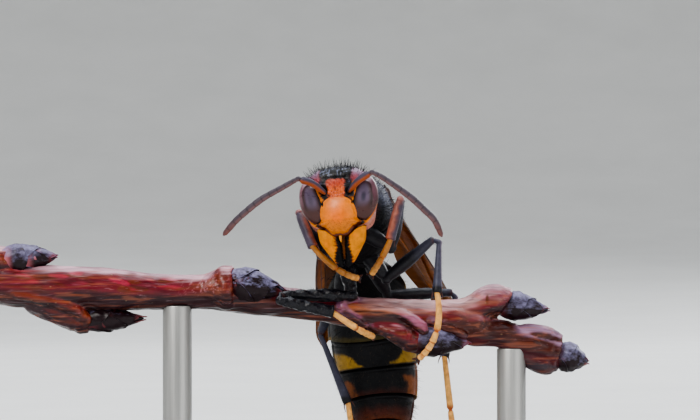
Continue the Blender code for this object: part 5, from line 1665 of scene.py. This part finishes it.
def coat_tree():
    """Grows bent tapering hairs over a bed, each with its root's place on the bed's unwrap."""
    tree, given = new_group("Coat", Amount="Float", Thickness="Float", Seed="Int", Material="Material")
    amount = wire(tree, "ShaderNodeMath", {0: named(tree, "density", "FLOAT"), 1: given["Amount"]},
                  operation="MULTIPLY").outputs[0]
    roots = wire(tree, "GeometryNodeDistributePointsOnFaces", {
        "Mesh": given["Geometry"], "Density": amount, "Seed": given["Seed"]}).outputs["Points"]
    aim = vector_sum(tree, named(tree, "aim", "FLOAT_VECTOR"),
                     random_value(tree, (-HAIR_SPREAD,) * 3, (HAIR_SPREAD,) * 3, given["Seed"], "FLOAT_VECTOR"))
    turn = wire(tree, "FunctionNodeAlignRotationToVector", {"Vector": aim}, axis="Z").outputs["Rotation"]
    spin = wire(tree, "ShaderNodeCombineXYZ", {
        "Z": random_value(tree, 0.0, math.tau, given["Seed"])}).outputs["Vector"]
    turn = wire(tree, "FunctionNodeRotateRotation", {
        "Rotation": turn, "Rotate By": wire(tree, "FunctionNodeEulerToRotation", {"Euler": spin}).outputs[0]},
        rotation_space="LOCAL").outputs[0]
    size = wire(tree, "ShaderNodeMath", {
        0: named(tree, "reach", "FLOAT"), 1: random_value(tree, HAIR_SHORTEST, 1.0, given["Seed"])},
        operation="MULTIPLY").outputs[0]
    cone = wire(tree, "GeometryNodeMeshCone", {
        "Vertices": 3, "Side Segments": 3, "Radius Top": 0.0, "Radius Bottom": given["Thickness"], "Depth": 1.0})
    place = wire(tree, "GeometryNodeInputPosition").outputs[0]
    height = wire(tree, "ShaderNodeSeparateXYZ", {"Vector": place}).outputs["Z"]
    curve = wire(tree, "ShaderNodeMath", {0: height, 1: 2.0}, operation="POWER").outputs[0]
    bend = wire(tree, "ShaderNodeVectorMath", {0: (HAIR_BEND, 0.0, 0.0), "Scale": curve},
                operation="SCALE").outputs[0]
    hair = wire(tree, "GeometryNodeSetPosition", {"Geometry": cone.outputs["Mesh"], "Offset": bend}).outputs[0]
    hair = wire(tree, "GeometryNodeStoreNamedAttribute", {
        "Geometry": hair, "Name": "own_uv", "Value": cone.outputs["UV Map"]}, data_type="FLOAT2",
        domain="CORNER").outputs[0]
    coat = wire(tree, "GeometryNodeInstanceOnPoints", {
        "Points": roots, "Instance": hair, "Rotation": turn, "Scale": size}).outputs[0]
    coat = wire(tree, "GeometryNodeRealizeInstances", {"Geometry": coat}).outputs[0]
    unwrap = vector_sum(tree, named(tree, "root_uv", "FLOAT_VECTOR"), named(tree, "own_uv", "FLOAT_VECTOR"),
                        TUFT_PATCH)
    coat = wire(tree, "GeometryNodeStoreNamedAttribute", {
        "Geometry": coat, "Name": "OFBake", "Value": unwrap}, data_type="FLOAT2", domain="CORNER").outputs[0]
    coat = wire(tree, "GeometryNodeSetMaterial", {"Geometry": coat, "Material": given["Material"]}).outputs[0]
    wire(tree, "NodeGroupOutput", {0: coat})
    return tree


def grow(name, bed, slot):
    """Grows one coat as a plain mesh and shows it."""
    tree = bpy.data.node_groups.get("Coat") or coat_tree()
    mesh = run_tree(name, bed.mesh(), tree, {
        "Amount": sizes().hair_amount, "Thickness": sizes().hair_thickness, "Seed": sizes().seed,
        "Material": finish("hair")})
    for spare in [item.name for item in mesh.attributes]:
        if spare in ("density", "reach", "aim", "root_uv", "own_uv", "UVMap"):
            mesh.attributes.remove(mesh.attributes[spare])
    mesh.shade_smooth()
    show(name, mesh, "hair", slot)


def hair_tint(skin, share=0.75):
    """The skin's own colours, mostly covered by the hairs' colour."""
    return mix(skin, colours().hair, share)


def coat_head():
    around, up, plain, skin = (grid[::4, ::4] for grid in head_skin())
    tint = head_tint(around, up, plain)
    points = from_head(skin)
    z, front = plain[..., 2], fade(-plain[..., 1], -0.3, 0.2)
    nearest = np.minimum(eye_share(around, up, LEFT), eye_share(around, up, RIGHT))
    bare = fade(nearest, 1.02, 1.12) * fade(clypeus_share(plain[..., 0], z), 1.0, 1.12)
    bare = np.where(front < 0.5, fade(nearest, 1.02, 1.12), bare)
    crown = fade(z, 0.9, 1.7)
    black = 1 - fade(tint.max(-1), 0.02, 0.2)
    bed = CoatBed(2)
    bed.add(points, 17 * crown * fade(z, 1.2, 1.7), 0.78, (0, -0.1, 0.3), hair_tint(tint, 0.97))
    bed.add(points, bare * (60 * black + 25) * (0.4 + 0.6 * crown), 0.26, (0, 0, 0.3), hair_tint(tint, 0.6))
    bed.add(points, bare * (1 - front) * 35, 0.4, (0, 0.3, 0), hair_tint(tint, 0.8))
    plate, share = clypeus_grid(18, 90)
    rim = fade(share, 0.86, 0.95) * fade(plate[..., 2], -0.8, -1.1) * (np.arange(len(plate)) < 18)[:, None]
    brown = flat_colour(plate.shape[:2], linear(70, 34, 18))
    bed.add(from_head(plate), 120 * rim, 0.16, (0, -0.3, -0.9), brown)
    grow("coat_head", bed, "chitin_black")


def coat_thorax():
    points, length, turn = thorax_skin(70, 72)
    tint = thorax_tint(points, length, turn)
    hidden = fade(length, 0.1, 0.5) * fade(length, 6.5, 6.2)
    back = unit(np.array(WAIST) - NECK)
    bed = CoatBed(2)
    side = fade(np.sin(turn), -0.3, 0.3) * fade(length, 5.5, 3.5)
    # Painted sheen: bluish grey on the hairs of the upper sides
    sheened_hair_tint = mix(hair_tint(tint, 0.85), linear(70, 68, 88), side * 0.6)
    bed.add(points, 60 * hidden, 0.34, back * 0.5, sheened_hair_tint)
    bed.add(points, 8 * hidden * fade(length, 4.5, 1.0), 0.62, back * 0.15, hair_tint(tint, 0.9))
    bed.add(points, 55 * hidden, 0.16, back * 0.8, sheened_hair_tint)
    grow("coat_thorax", bed, "chitin_black")


def coat_abdomen():
    bed = CoatBed(4)
    for index in range(len(SEGMENT_ENDS) - 1):
        points, length, turn = segment_grid(index, 24, 60)
        points, length, turn = (grid[:24] for grid in (points, length, turn))
        tint = abdomen_tint(index, points, length, turn)
        shown = fade(length, SEGMENT_ENDS[index] + (0.0 if index == 0 else 0.15), SEGMENT_ENDS[index] + 0.35)
        middle = np.clip((SEGMENT_ENDS[index] + 1.0) / 15, 0, 1)
        back = abdomen_axis().at(middle * 15)[1]
        bed.add(points, 20 * shown, 0.26, back * 1.1, mix(tint, linear(150, 120, 80), 0.35))
        bed.add(points, 2.6 * shown * (1 + 2 * (index > 3)), 0.6, back * 0.5, hair_tint(tint, 0.8))
    grow("coat_abdomen", bed, "chitin_black")


def coat_legs():
    bed = CoatBed(6)
    for name in LEGS:
        points = leg_points(name)
        thigh = limb(thigh_knots(name), 4, 12)
        bed.add(thigh, 34, 0.3, unit(points[2] - points[1]) * 0.5, hair_tint(leg_tint(name, "thigh", thigh), 0.7))
        shin = limb(shin_knots(name), 5, 12)
        bed.add(shin, 38, 0.24, unit(points[3] - points[2]) * 0.7, hair_tint(leg_tint(name, "shin", shin), 0.5))
        foot, tint = foot_rings(name, 60, 12)
        bed.add(foot, 55, 0.15, unit(points[5] - points[3]) * 0.9, mix(tint, linear(150, 92, 40), 0.4))
    grow("coat_legs", bed, "chitin_black")


def make_coats():
    coat_head()
    coat_thorax()
    coat_abdomen()
    coat_legs()


# Twig, buds and stand

SHOULDERS = [  # swollen leaf scars: place and radius at each knot
    [(-19.6, -0.15, 0.1, 0.8), (-18.1, -0.1, -0.5, 0.92), (-17.2, -0.05, -0.95, 0.86), (-16.4, 0.0, -1.3, 0.78),
     (-16.0, 0.0, -1.34, 0.66)],
    [(-22.0, -0.2, 2.2, 0.9), (-21.4, -0.2, 2.35, 0.95), (-20.6, -0.2, 2.3, 0.8)],
    [(-9.4, 0.4, 0.5, 0.85), (-8.4, 0.35, 0.62, 1.12), (-7.6, 0.3, 0.7, 1.4), (-7.1, 0.25, 0.72, 1.3)],
    [(1.0, 0.75, -1.5, 0.42), (2.1, 0.5, -1.82, 0.48), (3.05, 0.4, -2.17, 0.66), (3.9, 0.45, -2.55, 0.7),
     (4.15, 0.5, -2.6, 0.6)],
]
RIDGES = [
    [(-0.5, 0.3, -0.35, 0.16), (-0.13, 0.1, -0.51, 0.22), (1.35, 0.2, -0.58, 0.22), (2.92, 0.22, -0.8, 0.26),
     (3.7, 0.16, -1.14, 0.32), (4.32, 0.06, -1.6, 0.34), (4.65, -0.02, -2.05, 0.26)],
    [(0.5, 0.6, 0.22, 0.2), (-0.2, 0.3, 0.05, 0.26), (-0.5, 0.12, -0.35, 0.26), (-0.1, 0.02, -0.9, 0.28),
     (1.1, 0.3, -1.66, 0.26)],
    [(5.0, 0.45, -1.35, 0.2), (6.3, 0.7, -1.9, 0.3), (7.2, 0.9, -2.3, 0.22)],
    [(-20.4, -1.2, 0.35, 0.2), (-18.6, -1.12, 0.0, 0.3), (-17.1, -0.92, -0.42, 0.36), (-16.35, -0.72, -0.95, 0.36),
     (-16.1, -0.55, -1.4, 0.26)],
]
# Lines of painted shade where grooves run between the ridges
GROOVE_SHADOWS = [
    [(0.9, -1.12), (2.2, -1.14), (3.1, -1.35), (3.65, -1.7), (3.95, -2.2)],
    [(-0.3, -0.75), (0.5, -1.25), (1.2, -1.35)],
    [(5.4, -1.75), (7.6, -1.65), (9.3, -1.55)],
]
SHOOTS = [
    [(4.0, 1.35, -0.95, 0.72), (5.4, 1.5, -0.95, 0.85), (6.8, 1.75, -0.92, 0.88), (7.8, 1.95, -0.62, 0.98),
     (8.5, 2.05, -0.2, 1.03), (8.95, 2.1, -0.1, 1.05), (9.35, 2.15, -0.1, 0.98), (9.65, 2.2, -0.25, 0.8)],
    [(4.4, 1.4, -1.6, 0.7), (6.2, 1.7, -1.85, 0.8), (7.8, 2.05, -2.05, 0.85), (9.3, 2.3, -2.15, 0.9),
     (11.1, 2.6, -2.85, 0.95), (12.9, 2.85, -3.3, 0.92)],
    [(9.4, 2.2, -2.3, 0.45), (10.4, 2.3, -2.15, 0.5), (11.3, 2.35, -2.04, 0.52), (12.3, 2.5, -2.22, 0.52),
     (13.0, 2.6, -2.65, 0.45)],
    [(10.0, 2.4, -2.9, 0.5), (11.3, 2.55, -3.75, 0.66), (12.1, 2.7, -4.05, 0.66), (12.9, 2.85, -3.9, 0.5)],
]
BUDS = {  # root, tip and radius
    "bud_far_right": [(-20.9, -0.25, 2.5), (-18.0, -0.2, 2.68), 0.84],
    "bud_low_right": [(-16.0, 0.0, -1.22), (-12.6, 0.0, -1.12), 0.68],
    "bud_middle": [(-7.0, 0.1, 1.0), (-4.0, -0.1, 0.55), 0.98],
    "bud_low_left": [(4.15, 0.7, -2.5), (7.36, 1.15, -2.68), 0.85],
    "bud_upper_left": [(9.6, 2.3, -0.36), (12.3, 2.6, -0.66), 0.8],
    "bud_end_left": [(13.1, 2.95, -3.5), (14.8, 3.1, -3.95), 0.84],
}
ROD_TOPS = {"right": (-10.6, 0.35, -0.35), "left": (10.0, 2.4, -3.05)}
ROD_RADIUS, ROD_FOOT = 0.9, -13.35
BUD_PROFILE = ((-0.15, 0.7), (0.0, 0.86), (0.15, 1.0), (0.32, 0.98), (0.5, 0.86), (0.68, 0.62), (0.85, 0.36),
               (1.0, 0.06))
BUD_LAYERS = ((-0.14, 0.42, 0.1), (-0.12, 0.46, 0.1), (-0.05, 0.66, 0.06), (0.0, 0.7, 0.06), (0.15, 0.88, 0.03),
              (0.25, 0.9, 0.03), (0.4, 1.03, 0.0), (0.45, 1.05, 0.0))
BUD_STYLES = {"bud_middle": "bud", "bud_low_right": "bud_bare"}  # the rest are waxy
SCALE_THICKNESS = 0.05
VOXEL, BARK_SMOOTHS = 0.085, 4


def read_vectors(items, name):
    """One vector of each of a mesh's items, as rows."""
    values = np.empty(len(items) * 3, np.float32)
    items.foreach_get(name, values)
    return values.reshape(-1, 3).astype(float)


def melt(name, shell):
    """Melts overlapping tubes into one skin."""
    holder = bpy.data.objects.new(name, shell.mesh(name))
    bpy.context.scene.collection.objects.link(holder)
    remesh = holder.modifiers.new("remesh", "REMESH")
    remesh.mode = "VOXEL"
    remesh.voxel_size = VOXEL * MM
    relax = holder.modifiers.new("relax", "SMOOTH")
    relax.factor, relax.iterations = 0.5, BARK_SMOOTHS
    mesh = bpy.data.meshes.new_from_object(holder.evaluated_get(bpy.context.evaluated_depsgraph_get()))
    mesh.name = name
    bpy.data.objects.remove(holder)
    return mesh


def twig_relief(points):
    """Wrinkles along the bark, rings round the leaf scars and shallow dents."""
    stretched = points * (0.28, 1.0, 1.0)
    rise = 0.035 * rough(stretched, 0.55, 121) + 0.02 * rough(stretched, 0.24, 122)
    rise += 0.035 * rough(points, 1.6, 123)
    for root, _, _ in BUDS.values():
        apart = np.linalg.norm(points - root, axis=-1)
        rise += 0.03 * np.sin(apart * math.tau / 0.32) * fade(apart, 1.7, 1.0) * fade(apart, 0.5, 0.8)
    return rise


def twig_tint(points, normals):
    paint = twig_colours()
    stretched = points * (0.2, 1.0, 1.0)
    waver = 0.3 * rough(stretched, 0.9, 131) + 0.15 * rough(stretched, 0.35, 132)
    tint = flat_colour(points.shape[:-1], paint.bark)
    up = normals[:, 2] + waver * 0.4
    streaks = rough(stretched, 0.5, 133)
    tint = mix(tint, paint.rust, fade(streaks, 0.0, 0.5) * fade(up, -0.3, 0.0) * fade(up, 0.75, 0.5) * 0.85)
    # Crimson patches of the bark, kept to the faces turned up, where they also paint the lit side lighter
    tint = mix(tint, linear(188, 46, 74),
               fade(rough(stretched, 0.4, 134), 0.2, 0.7) * fade(up, 0.1, 0.4) * 0.6)
    # Painted shade: the underside darkened, and the faces turned straight down greyed
    tint = mix(tint, paint.shade, fade(up, 0.0, -0.35) * 0.9)
    tint = mix(tint, linear(34, 34, 32), fade(normals[:, 2], -0.75, -0.9) * 0.5)
    # Painted highlight: the pale bloom colour on the faces turned up, partly the wax bloom itself
    tint = mix(tint, paint.bloom_and_highlight, fade(up, 0.62, 0.92) * 0.8)
    tint = mix(tint, paint.bloom_and_highlight, fade(points[:, 0], 6.5, 8.4) * fade(up, -0.1, 0.6) * 0.45)
    # Ridge crests on their upper faces: the tan and brown ones are the bark's own colour, the lilac ones painted
    # highlight
    for number, ridge in enumerate(RIDGES):
        path = smooth_path(ridge, 12)[:, :3]
        apart = np.linalg.norm(points[:, None] - path[None], axis=-1).min(1)
        crest = (linear(176, 104, 62), linear(150, 100, 132), linear(120, 92, 118), linear(122, 50, 18))[number]
        if number == 0:
            crest = mix(flat_colour(points.shape[:-1], crest), linear(170, 104, 132), fade(points[:, 0], 2.2, 3.4))
        tint = mix(tint, crest, fade(apart, 0.42, 0.3) * fade(normals[:, 2] + waver, -0.5, 0.2) * 0.85)
    # Painted shade: the grooves darkened on the faces turned to the front
    for groove in GROOVE_SHADOWS:
        path = smooth_path(groove, 12)
        apart = np.linalg.norm(points[:, None, ::2] - path[None], axis=-1).min(1)
        tint = mix(tint, linear(44, 14, 10), fade(apart, 0.26, 0.08) * fade(normals[:, 1], 0.0, -0.4) * 0.85)
    lower = SHOOTS[1]
    below = points[:, 2] - np.interp(points[:, 0], *zip(*[(knot[0], knot[2]) for knot in lower]))
    strand = fade(points[:, 0], 4.3, 5.6) * fade(points[:, 2] + 0.1 * waver, -1.2, -1.45)
    tint = mix(tint, linear(72, 22, 8), strand * fade(below + waver * 0.3, -0.45, -0.1))
    tint = mix(tint, linear(44, 10, 12), strand * fade(rough(stretched, 0.22, 136), 0.1, 0.5) * 0.7)
    # Painted shade: the strand darker crimson lower down and slate-grey along its underside
    tint = mix(tint, linear(74, 10, 22), strand * fade(below + waver * 0.3, -0.25, -0.5))
    tint = mix(tint, linear(36, 38, 48), strand * fade(below, -0.8, -1.0) * 0.8)
    crest = smooth_path(SHOOTS[2], 12)[:, :3]
    apart = np.linalg.norm(points[:, None] - crest[None], axis=-1).min(1)
    # Painted highlight: lilac along the upper faces of the shoot's crest
    tint = mix(tint, linear(168, 132, 160),
               fade(apart, 0.75, 0.5) * fade(normals[:, 2] + waver * 0.5, 0.0, 0.35) * 0.9)
    scar = np.hypot((points[:, 0] - 8.46) / 0.12, (points[:, 2] + 0.02) / 0.36)
    tint = mix(tint, linear(84, 34, 16), fade(scar, 1.1, 0.7) * fade(normals[:, 1], -0.2, -0.5))
    # Pale pinkish tan on the upper faces: partly the bark's tan, partly painted highlight
    tan_and_highlight = fade(points[:, 0], 0.2, 1.5) * fade(points[:, 0], 8.4, 7.0) * fade(normals[:, 2] + waver, -0.1, 0.5)
    tint = mix(tint, linear(200, 150, 146), tan_and_highlight * fade(points[:, 2], -1.1, -0.6) * 0.75)
    tint = mix(tint, paint.rust,
               hump(points[:, 0], -8.3, 1.2) * fade(up, 0.9, 0.5) * fade(up, -0.5, -0.1) * 0.8)
    specks = hump(points[:, 0], -8.8, 1.2) * fade(rough(points, 0.13, 135), 0.45, 0.8)
    tint = mix(tint, linear(214, 150, 160), specks * fade(up, -0.3, 0.0) * 0.5)
    cut = fade(points[:, 0], -22.12, -22.2) * fade(normals[:, 0], -0.5, -0.8)
    heart = np.hypot(points[:, 1] + 0.3, points[:, 2] - 0.95)
    tint = mix(tint, paint.wood, cut * fade(heart, 1.04, 0.98))
    return mix(tint, paint.rust,
               cut * np.clip(fade(heart, 0.24, 0.18) + 0.3 * np.sin(heart * 30), 0, 1) * 0.7)


def make_twig():
    shell = Shell()
    bark = twig_rgb("bark")
    shell.round(limb(zip(TWIG_AXIS, TWIG_RADII), 8, 40), bark)
    for line in SHOULDERS + SHOOTS + RIDGES:
        shell.round(rope(line, 8, 28), bark)
    mesh = melt("twig_bark", shell)
    places = read_vectors(mesh.vertices, "co") / MM - TWIG_PLACE
    normals = read_vectors(mesh.vertex_normals, "vector")
    flat = fade(places[:, 0], -22.0, -21.7)
    raised = places + normals * (twig_relief(places) * flat)[:, None]
    mesh.vertices.foreach_set("co", ((raised + TWIG_PLACE) * MM).astype(np.float32).ravel())
    mesh.update()
    paint(mesh, twig_tint(places, normals))
    mesh.shade_smooth()
    show("twig_bark", mesh, "bark", "bark_red", ["twig", "twig_upper_shoot", "twig_lower_shoot"])


def bud_scale(frame_of, length, radius, layer, facing, seed):
    """One pointed scale of a bud: a curved shell that hugs the bud, its edges a little raised."""
    start, end, lift = layer
    down, across = np.meshgrid(np.linspace(0, 1, 30), np.linspace(-1, 1, 25), indexing="ij")
    share = start + (end - start) * down
    reach = math.radians(88) * (1 - down**2.2) ** 0.62 + 0.01
    turn = facing + across * reach
    swell = np.interp(share, *zip(*BUD_PROFILE))
    out = radius * (swell + lift * 0.9) + 0.05 * np.abs(across) ** 3 * fade(down, 0.2, 0.8) + 0.03 * down**3
    out = out + 0.02 * hump(across, 0, 0.15) * radius
    root, ahead, aside, above = frame_of
    points = (root + ahead * (share * length)[..., None] + aside * (out * np.cos(turn))[..., None]
              + above * (out * np.sin(turn))[..., None])
    points += unit(points - root - ahead * (share * length)[..., None]) * (
        0.02 * rough(points, 0.5, seed))[..., None]
    edge = np.maximum(np.abs(across) ** 4, down**6)
    return points, edge, down


def bud_shell(name, number):
    paint = twig_colours()
    root, tip, radius = BUDS[name]
    root, tip = np.array(root), np.array(tip)
    length, ahead = np.linalg.norm(tip - root), unit(tip - root)
    aside = unit(np.cross(ahead, (0, 0, 1)))
    frame_of = (root, ahead, aside, np.cross(aside, ahead))
    shell = Shell()
    share = np.linspace(-0.15, 0.99, 40)
    core = tube(root + ahead * (share * length)[:, None], radius * 0.93 * np.interp(share, *zip(*BUD_PROFILE)), 32)
    # Painted shade: the core, seen only between the scales, in the underside's shade colour darkened further
    shell.round(core, np.array(paint.shade) * 0.6)
    for i, layer in enumerate(BUD_LAYERS):
        facing = (i % 2) * math.pi + (i // 2) * math.radians(72) + number * 0.9
        points, edge, down = bud_scale(frame_of, length, radius, layer, facing, 141 + i + 10 * number)
        tint = mix(flat_colour(edge.shape, paint.bud), paint.shade, fade(edge, 0.5, 1.0) * 0.6)
        tint = mix(tint, linear(150, 70, 76), fade(down, 0.35, 0.0) * 0.35)
        along = (points - root) @ ahead / length
        tint = mix(tint, linear(128, 44, 46), fade(along, 0.8, 0.95) * 0.8)
        if name == "bud_far_right":
            tint = mix(tint, linear(214, 120, 130), fade(down, 0.5, 0.1) * 0.7)
        shell.slab(points, tint, SCALE_THICKNESS)
    return shell


def make_buds():
    for number, name in enumerate(BUDS):
        piece = name.replace("bud_", "scales_")
        style = BUD_STYLES.get(name, "bud_waxy")
        show(piece, bud_shell(name, number), style, "bud_violet", [name], 60)


def make_stand():
    """The base keeps its solid and gets a finish; each rod ends flat just inside the twig's underside."""
    base = bpy.data.objects["stand_base"]
    base.data.materials.clear()
    base.data.materials.append(finish("base"))
    for name, (x, y, top) in ROD_TOPS.items():
        heights = (ROD_FOOT, ROD_FOOT, ROD_FOOT + 0.02, top - 0.08, top - 0.02, top, top)
        radii = (0.02, ROD_RADIUS - 0.02, ROD_RADIUS, ROD_RADIUS, ROD_RADIUS - 0.03, ROD_RADIUS - 0.08, 0.02)
        rod = Shell().round(tube(np.array([(x, y, height) for height in heights]) + np.linspace(
            0, 1e-4, len(heights))[:, None] * (0, 0, 1), radii, 64), twig_rgb("rod"))
        piece = f"post_{name}"
        show(piece, rod, "rod", "stand_grey", [f"stand_rod_{name}"], 40)


# Floor, light and camera

FLOOR_PROFILE = [(0.0, 0.0), (0.3, 0.0), (0.62, 0.0), (0.9, 0.05), (1.12, 0.25), (1.22, 0.6), (1.24, 1.0), (1.2, 1.5)]
LIGHTS = {  # place, aimed-at height, size, power and colour
    "key": ((-0.32, -0.42, 0.5), 0.012, (0.35, 0.35), 3.2, (1.0, 0.97, 0.93)),
    "sky": ((0.05, 0.12, 0.62), 0.012, (0.7, 0.7), 5.0, (0.9, 0.94, 1.0)),
    "fill": ((0.45, -0.4, 0.16), 0.015, (0.4, 0.4), 0.8, (1.0, 0.98, 0.96)),
    "rim": ((0.3, 0.5, 0.25), 0.012, (0.3, 0.3), 1.5, (0.95, 0.97, 1.0)),
}
SKY_COLOUR, SKY_STRENGTH = (0.86, 0.9, 0.95, 1.0), 0.18


def make_floor():
    """A round floor that rises all round without an edge."""
    path = smooth_path(FLOOR_PROFILE, 12)
    turn = turns_of(160)
    points = np.stack([path[1:, :1] * np.cos(turn), path[1:, :1] * np.sin(turn), path[1:, 1:] + 0 * turn], -1)
    index, after, faces = ring_faces(*points.shape[:2])
    faces += [[index.size, b, a] for a, b in zip(index[0].tolist(), after[0].tolist())]
    places = np.vstack([points.reshape(-1, 3), (0, 0, 0)]) + (*(TWIG_PLACE[:2] * MM), 0)
    mesh = bpy.data.meshes.new("floor")
    mesh.from_pydata(places.tolist(), [], faces)
    mesh.materials.append(finish("paper"))
    mesh.shade_smooth()
    floor = bpy.data.objects.new("floor", mesh)
    bpy.context.scene.collection.objects.link(floor)


def make_lights():
    for name, (place, height, size, power, colour) in LIGHTS.items():
        lamp = bpy.data.lights.new(name, "AREA")
        lamp.shape = "RECTANGLE"
        lamp.size, lamp.size_y = size
        lamp.energy = power
        lamp.color = colour
        holder = bpy.data.objects.new(name, lamp)
        holder.location = place
        aim = Matrix.Translation((0, 0, height)).translation - holder.location
        holder.rotation_euler = aim.to_track_quat("-Z", "Y").to_euler()
        bpy.context.scene.collection.objects.link(holder)
    world = bpy.data.worlds.new("soft")
    world.use_nodes = True
    settle(world.node_tree.nodes["Background"], {"Color": SKY_COLOUR, "Strength": SKY_STRENGTH})
    bpy.context.scene.world = world


def make_camera():
    lens = bpy.data.cameras.new("camera")
    lens.sensor_width = SENSOR_WIDTH
    lens.lens = SENSOR_WIDTH * -CAMERA_PLACE[1] / (IMAGE_WIDTH * PIXEL)
    lens.clip_start, lens.clip_end = 0.01, 10.0
    camera = bpy.data.objects.new("camera", lens)
    camera.location = (np.array(CAMERA_PLACE) + TWIG_PLACE) * MM
    camera.rotation_euler = (math.pi / 2, 0, 0)
    bpy.context.scene.collection.objects.link(camera)
    bpy.context.scene.camera = camera
    bpy.context.scene.view_settings.look = "AgX - Medium High Contrast"


def make_stage():
    make_floor()
    make_lights()
    make_camera()


# Operators


class BuildStep:
    """What every operator here shares."""

    bl_options = {"REGISTER", "UNDO"}


class HORNET_OT_head(BuildStep, bpy.types.Operator):
    """Makes the head's skin, its crown lenses and the mouth between the jaws"""

    bl_idname = "hornet.head"
    bl_label = "Head"

    def execute(self, context):
        make_head()
        make_ocelli()
        make_mouth()
        return {"FINISHED"}


class HORNET_OT_clypeus(BuildStep, bpy.types.Operator):
    """Makes the shield of the face"""

    bl_idname = "hornet.clypeus"
    bl_label = "Clypeus"

    def execute(self, context):
        make_clypeus()
        return {"FINISHED"}


class HORNET_OT_jaws(BuildStep, bpy.types.Operator):
    """Makes both toothed mandibles"""

    bl_idname = "hornet.jaws"
    bl_label = "Jaws"

    def execute(self, context):
        make_jaws()
        return {"FINISHED"}


class HORNET_OT_eyes(BuildStep, bpy.types.Operator):
    """Makes both compound eyes"""

    bl_idname = "hornet.eyes"
    bl_label = "Eyes"

    def execute(self, context):
        make_eyes()
        return {"FINISHED"}


class HORNET_OT_antennae(BuildStep, bpy.types.Operator):
    """Makes both antennae, stalk and feeler"""

    bl_idname = "hornet.antennae"
    bl_label = "Antennae"

    def execute(self, context):
        make_antennae()
        return {"FINISHED"}


class HORNET_OT_thorax(BuildStep, bpy.types.Operator):
    """Makes the thorax's skin and the scales over the wing roots"""

    bl_idname = "hornet.thorax"
    bl_label = "Thorax"

    def execute(self, context):
        make_thorax()
        return {"FINISHED"}


class HORNET_OT_abdomen(BuildStep, bpy.types.Operator):
    """Makes the waist and the abdomen's plates"""

    bl_idname = "hornet.abdomen"
    bl_label = "Abdomen"

    def execute(self, context):
        make_abdomen()
        return {"FINISHED"}


class HORNET_OT_wings(BuildStep, bpy.types.Operator):
    """Makes the folded wings, membranes and veins"""

    bl_idname = "hornet.wings"
    bl_label = "Wings"

    def execute(self, context):
        make_wings()
        return {"FINISHED"}


class HORNET_OT_legs(BuildStep, bpy.types.Operator):
    """Makes all six legs: thighs, shins and feet with their claws"""

    bl_idname = "hornet.legs"
    bl_label = "Legs"

    def execute(self, context):
        make_legs()
        return {"FINISHED"}


class HORNET_OT_coats(BuildStep, bpy.types.Operator):
    """Grows the hairs of head, thorax, abdomen and legs"""

    bl_idname = "hornet.coats"
    bl_label = "Coats"

    def execute(self, context):
        make_coats()
        return {"FINISHED"}


class HORNET_OT_twig(BuildStep, bpy.types.Operator):
    """Makes the twig's bark"""

    bl_idname = "hornet.twig"
    bl_label = "Twig"

    def execute(self, context):
        make_twig()
        return {"FINISHED"}


class HORNET_OT_buds(BuildStep, bpy.types.Operator):
    """Makes the six buds of overlapping scales"""

    bl_idname = "hornet.buds"
    bl_label = "Buds"

    def execute(self, context):
        make_buds()
        return {"FINISHED"}


class HORNET_OT_stand(BuildStep, bpy.types.Operator):
    """Gives the stand its finish"""

    bl_idname = "hornet.stand"
    bl_label = "Stand"

    def execute(self, context):
        make_stand()
        return {"FINISHED"}


class HORNET_OT_stage(BuildStep, bpy.types.Operator):
    """Makes the floor, the lights and the camera"""

    bl_idname = "hornet.stage"
    bl_label = "Stage"

    def execute(self, context):
        make_stage()
        return {"FINISHED"}


STEPS = (
    HORNET_OT_head, HORNET_OT_clypeus, HORNET_OT_jaws, HORNET_OT_eyes, HORNET_OT_antennae, HORNET_OT_thorax,
    HORNET_OT_abdomen, HORNET_OT_wings, HORNET_OT_legs, HORNET_OT_coats, HORNET_OT_twig, HORNET_OT_buds,
    HORNET_OT_stand, HORNET_OT_stage,
)


class HORNET_PT_steps(bpy.types.Panel):
    """Lists the model's steps in the sidebar of the 3D view"""

    bl_idname = "HORNET_PT_steps"
    bl_label = "Hornet on a twig"
    bl_space_type = "VIEW_3D"
    bl_region_type = "UI"
    bl_category = "Hornet"

    def draw(self, context):
        for step in STEPS:
            self.layout.operator(step.bl_idname)
        for group in (context.scene.hornet_colours, context.scene.hornet_sizes, context.scene.hornet_twig):
            box = self.layout.box()
            for name in group.bl_rna.properties.keys()[2:]:
                box.prop(group, name)


CLASSES = (HornetColours, HornetSizes, TwigColours, *STEPS, HORNET_PT_steps)


def register():
    for item in CLASSES:
        bpy.utils.register_class(item)
    bpy.types.Scene.hornet_colours = PointerProperty(type=HornetColours)
    bpy.types.Scene.hornet_sizes = PointerProperty(type=HornetSizes)
    bpy.types.Scene.hornet_twig = PointerProperty(type=TwigColours)


def unregister():
    del bpy.types.Scene.hornet_colours, bpy.types.Scene.hornet_sizes, bpy.types.Scene.hornet_twig
    for item in reversed(CLASSES):
        bpy.utils.unregister_class(item)


def main():
    register()
    for step in STEPS:
        getattr(bpy.ops.hornet, step.bl_idname.split(".")[1])()


if __name__ == "__main__":
    main()
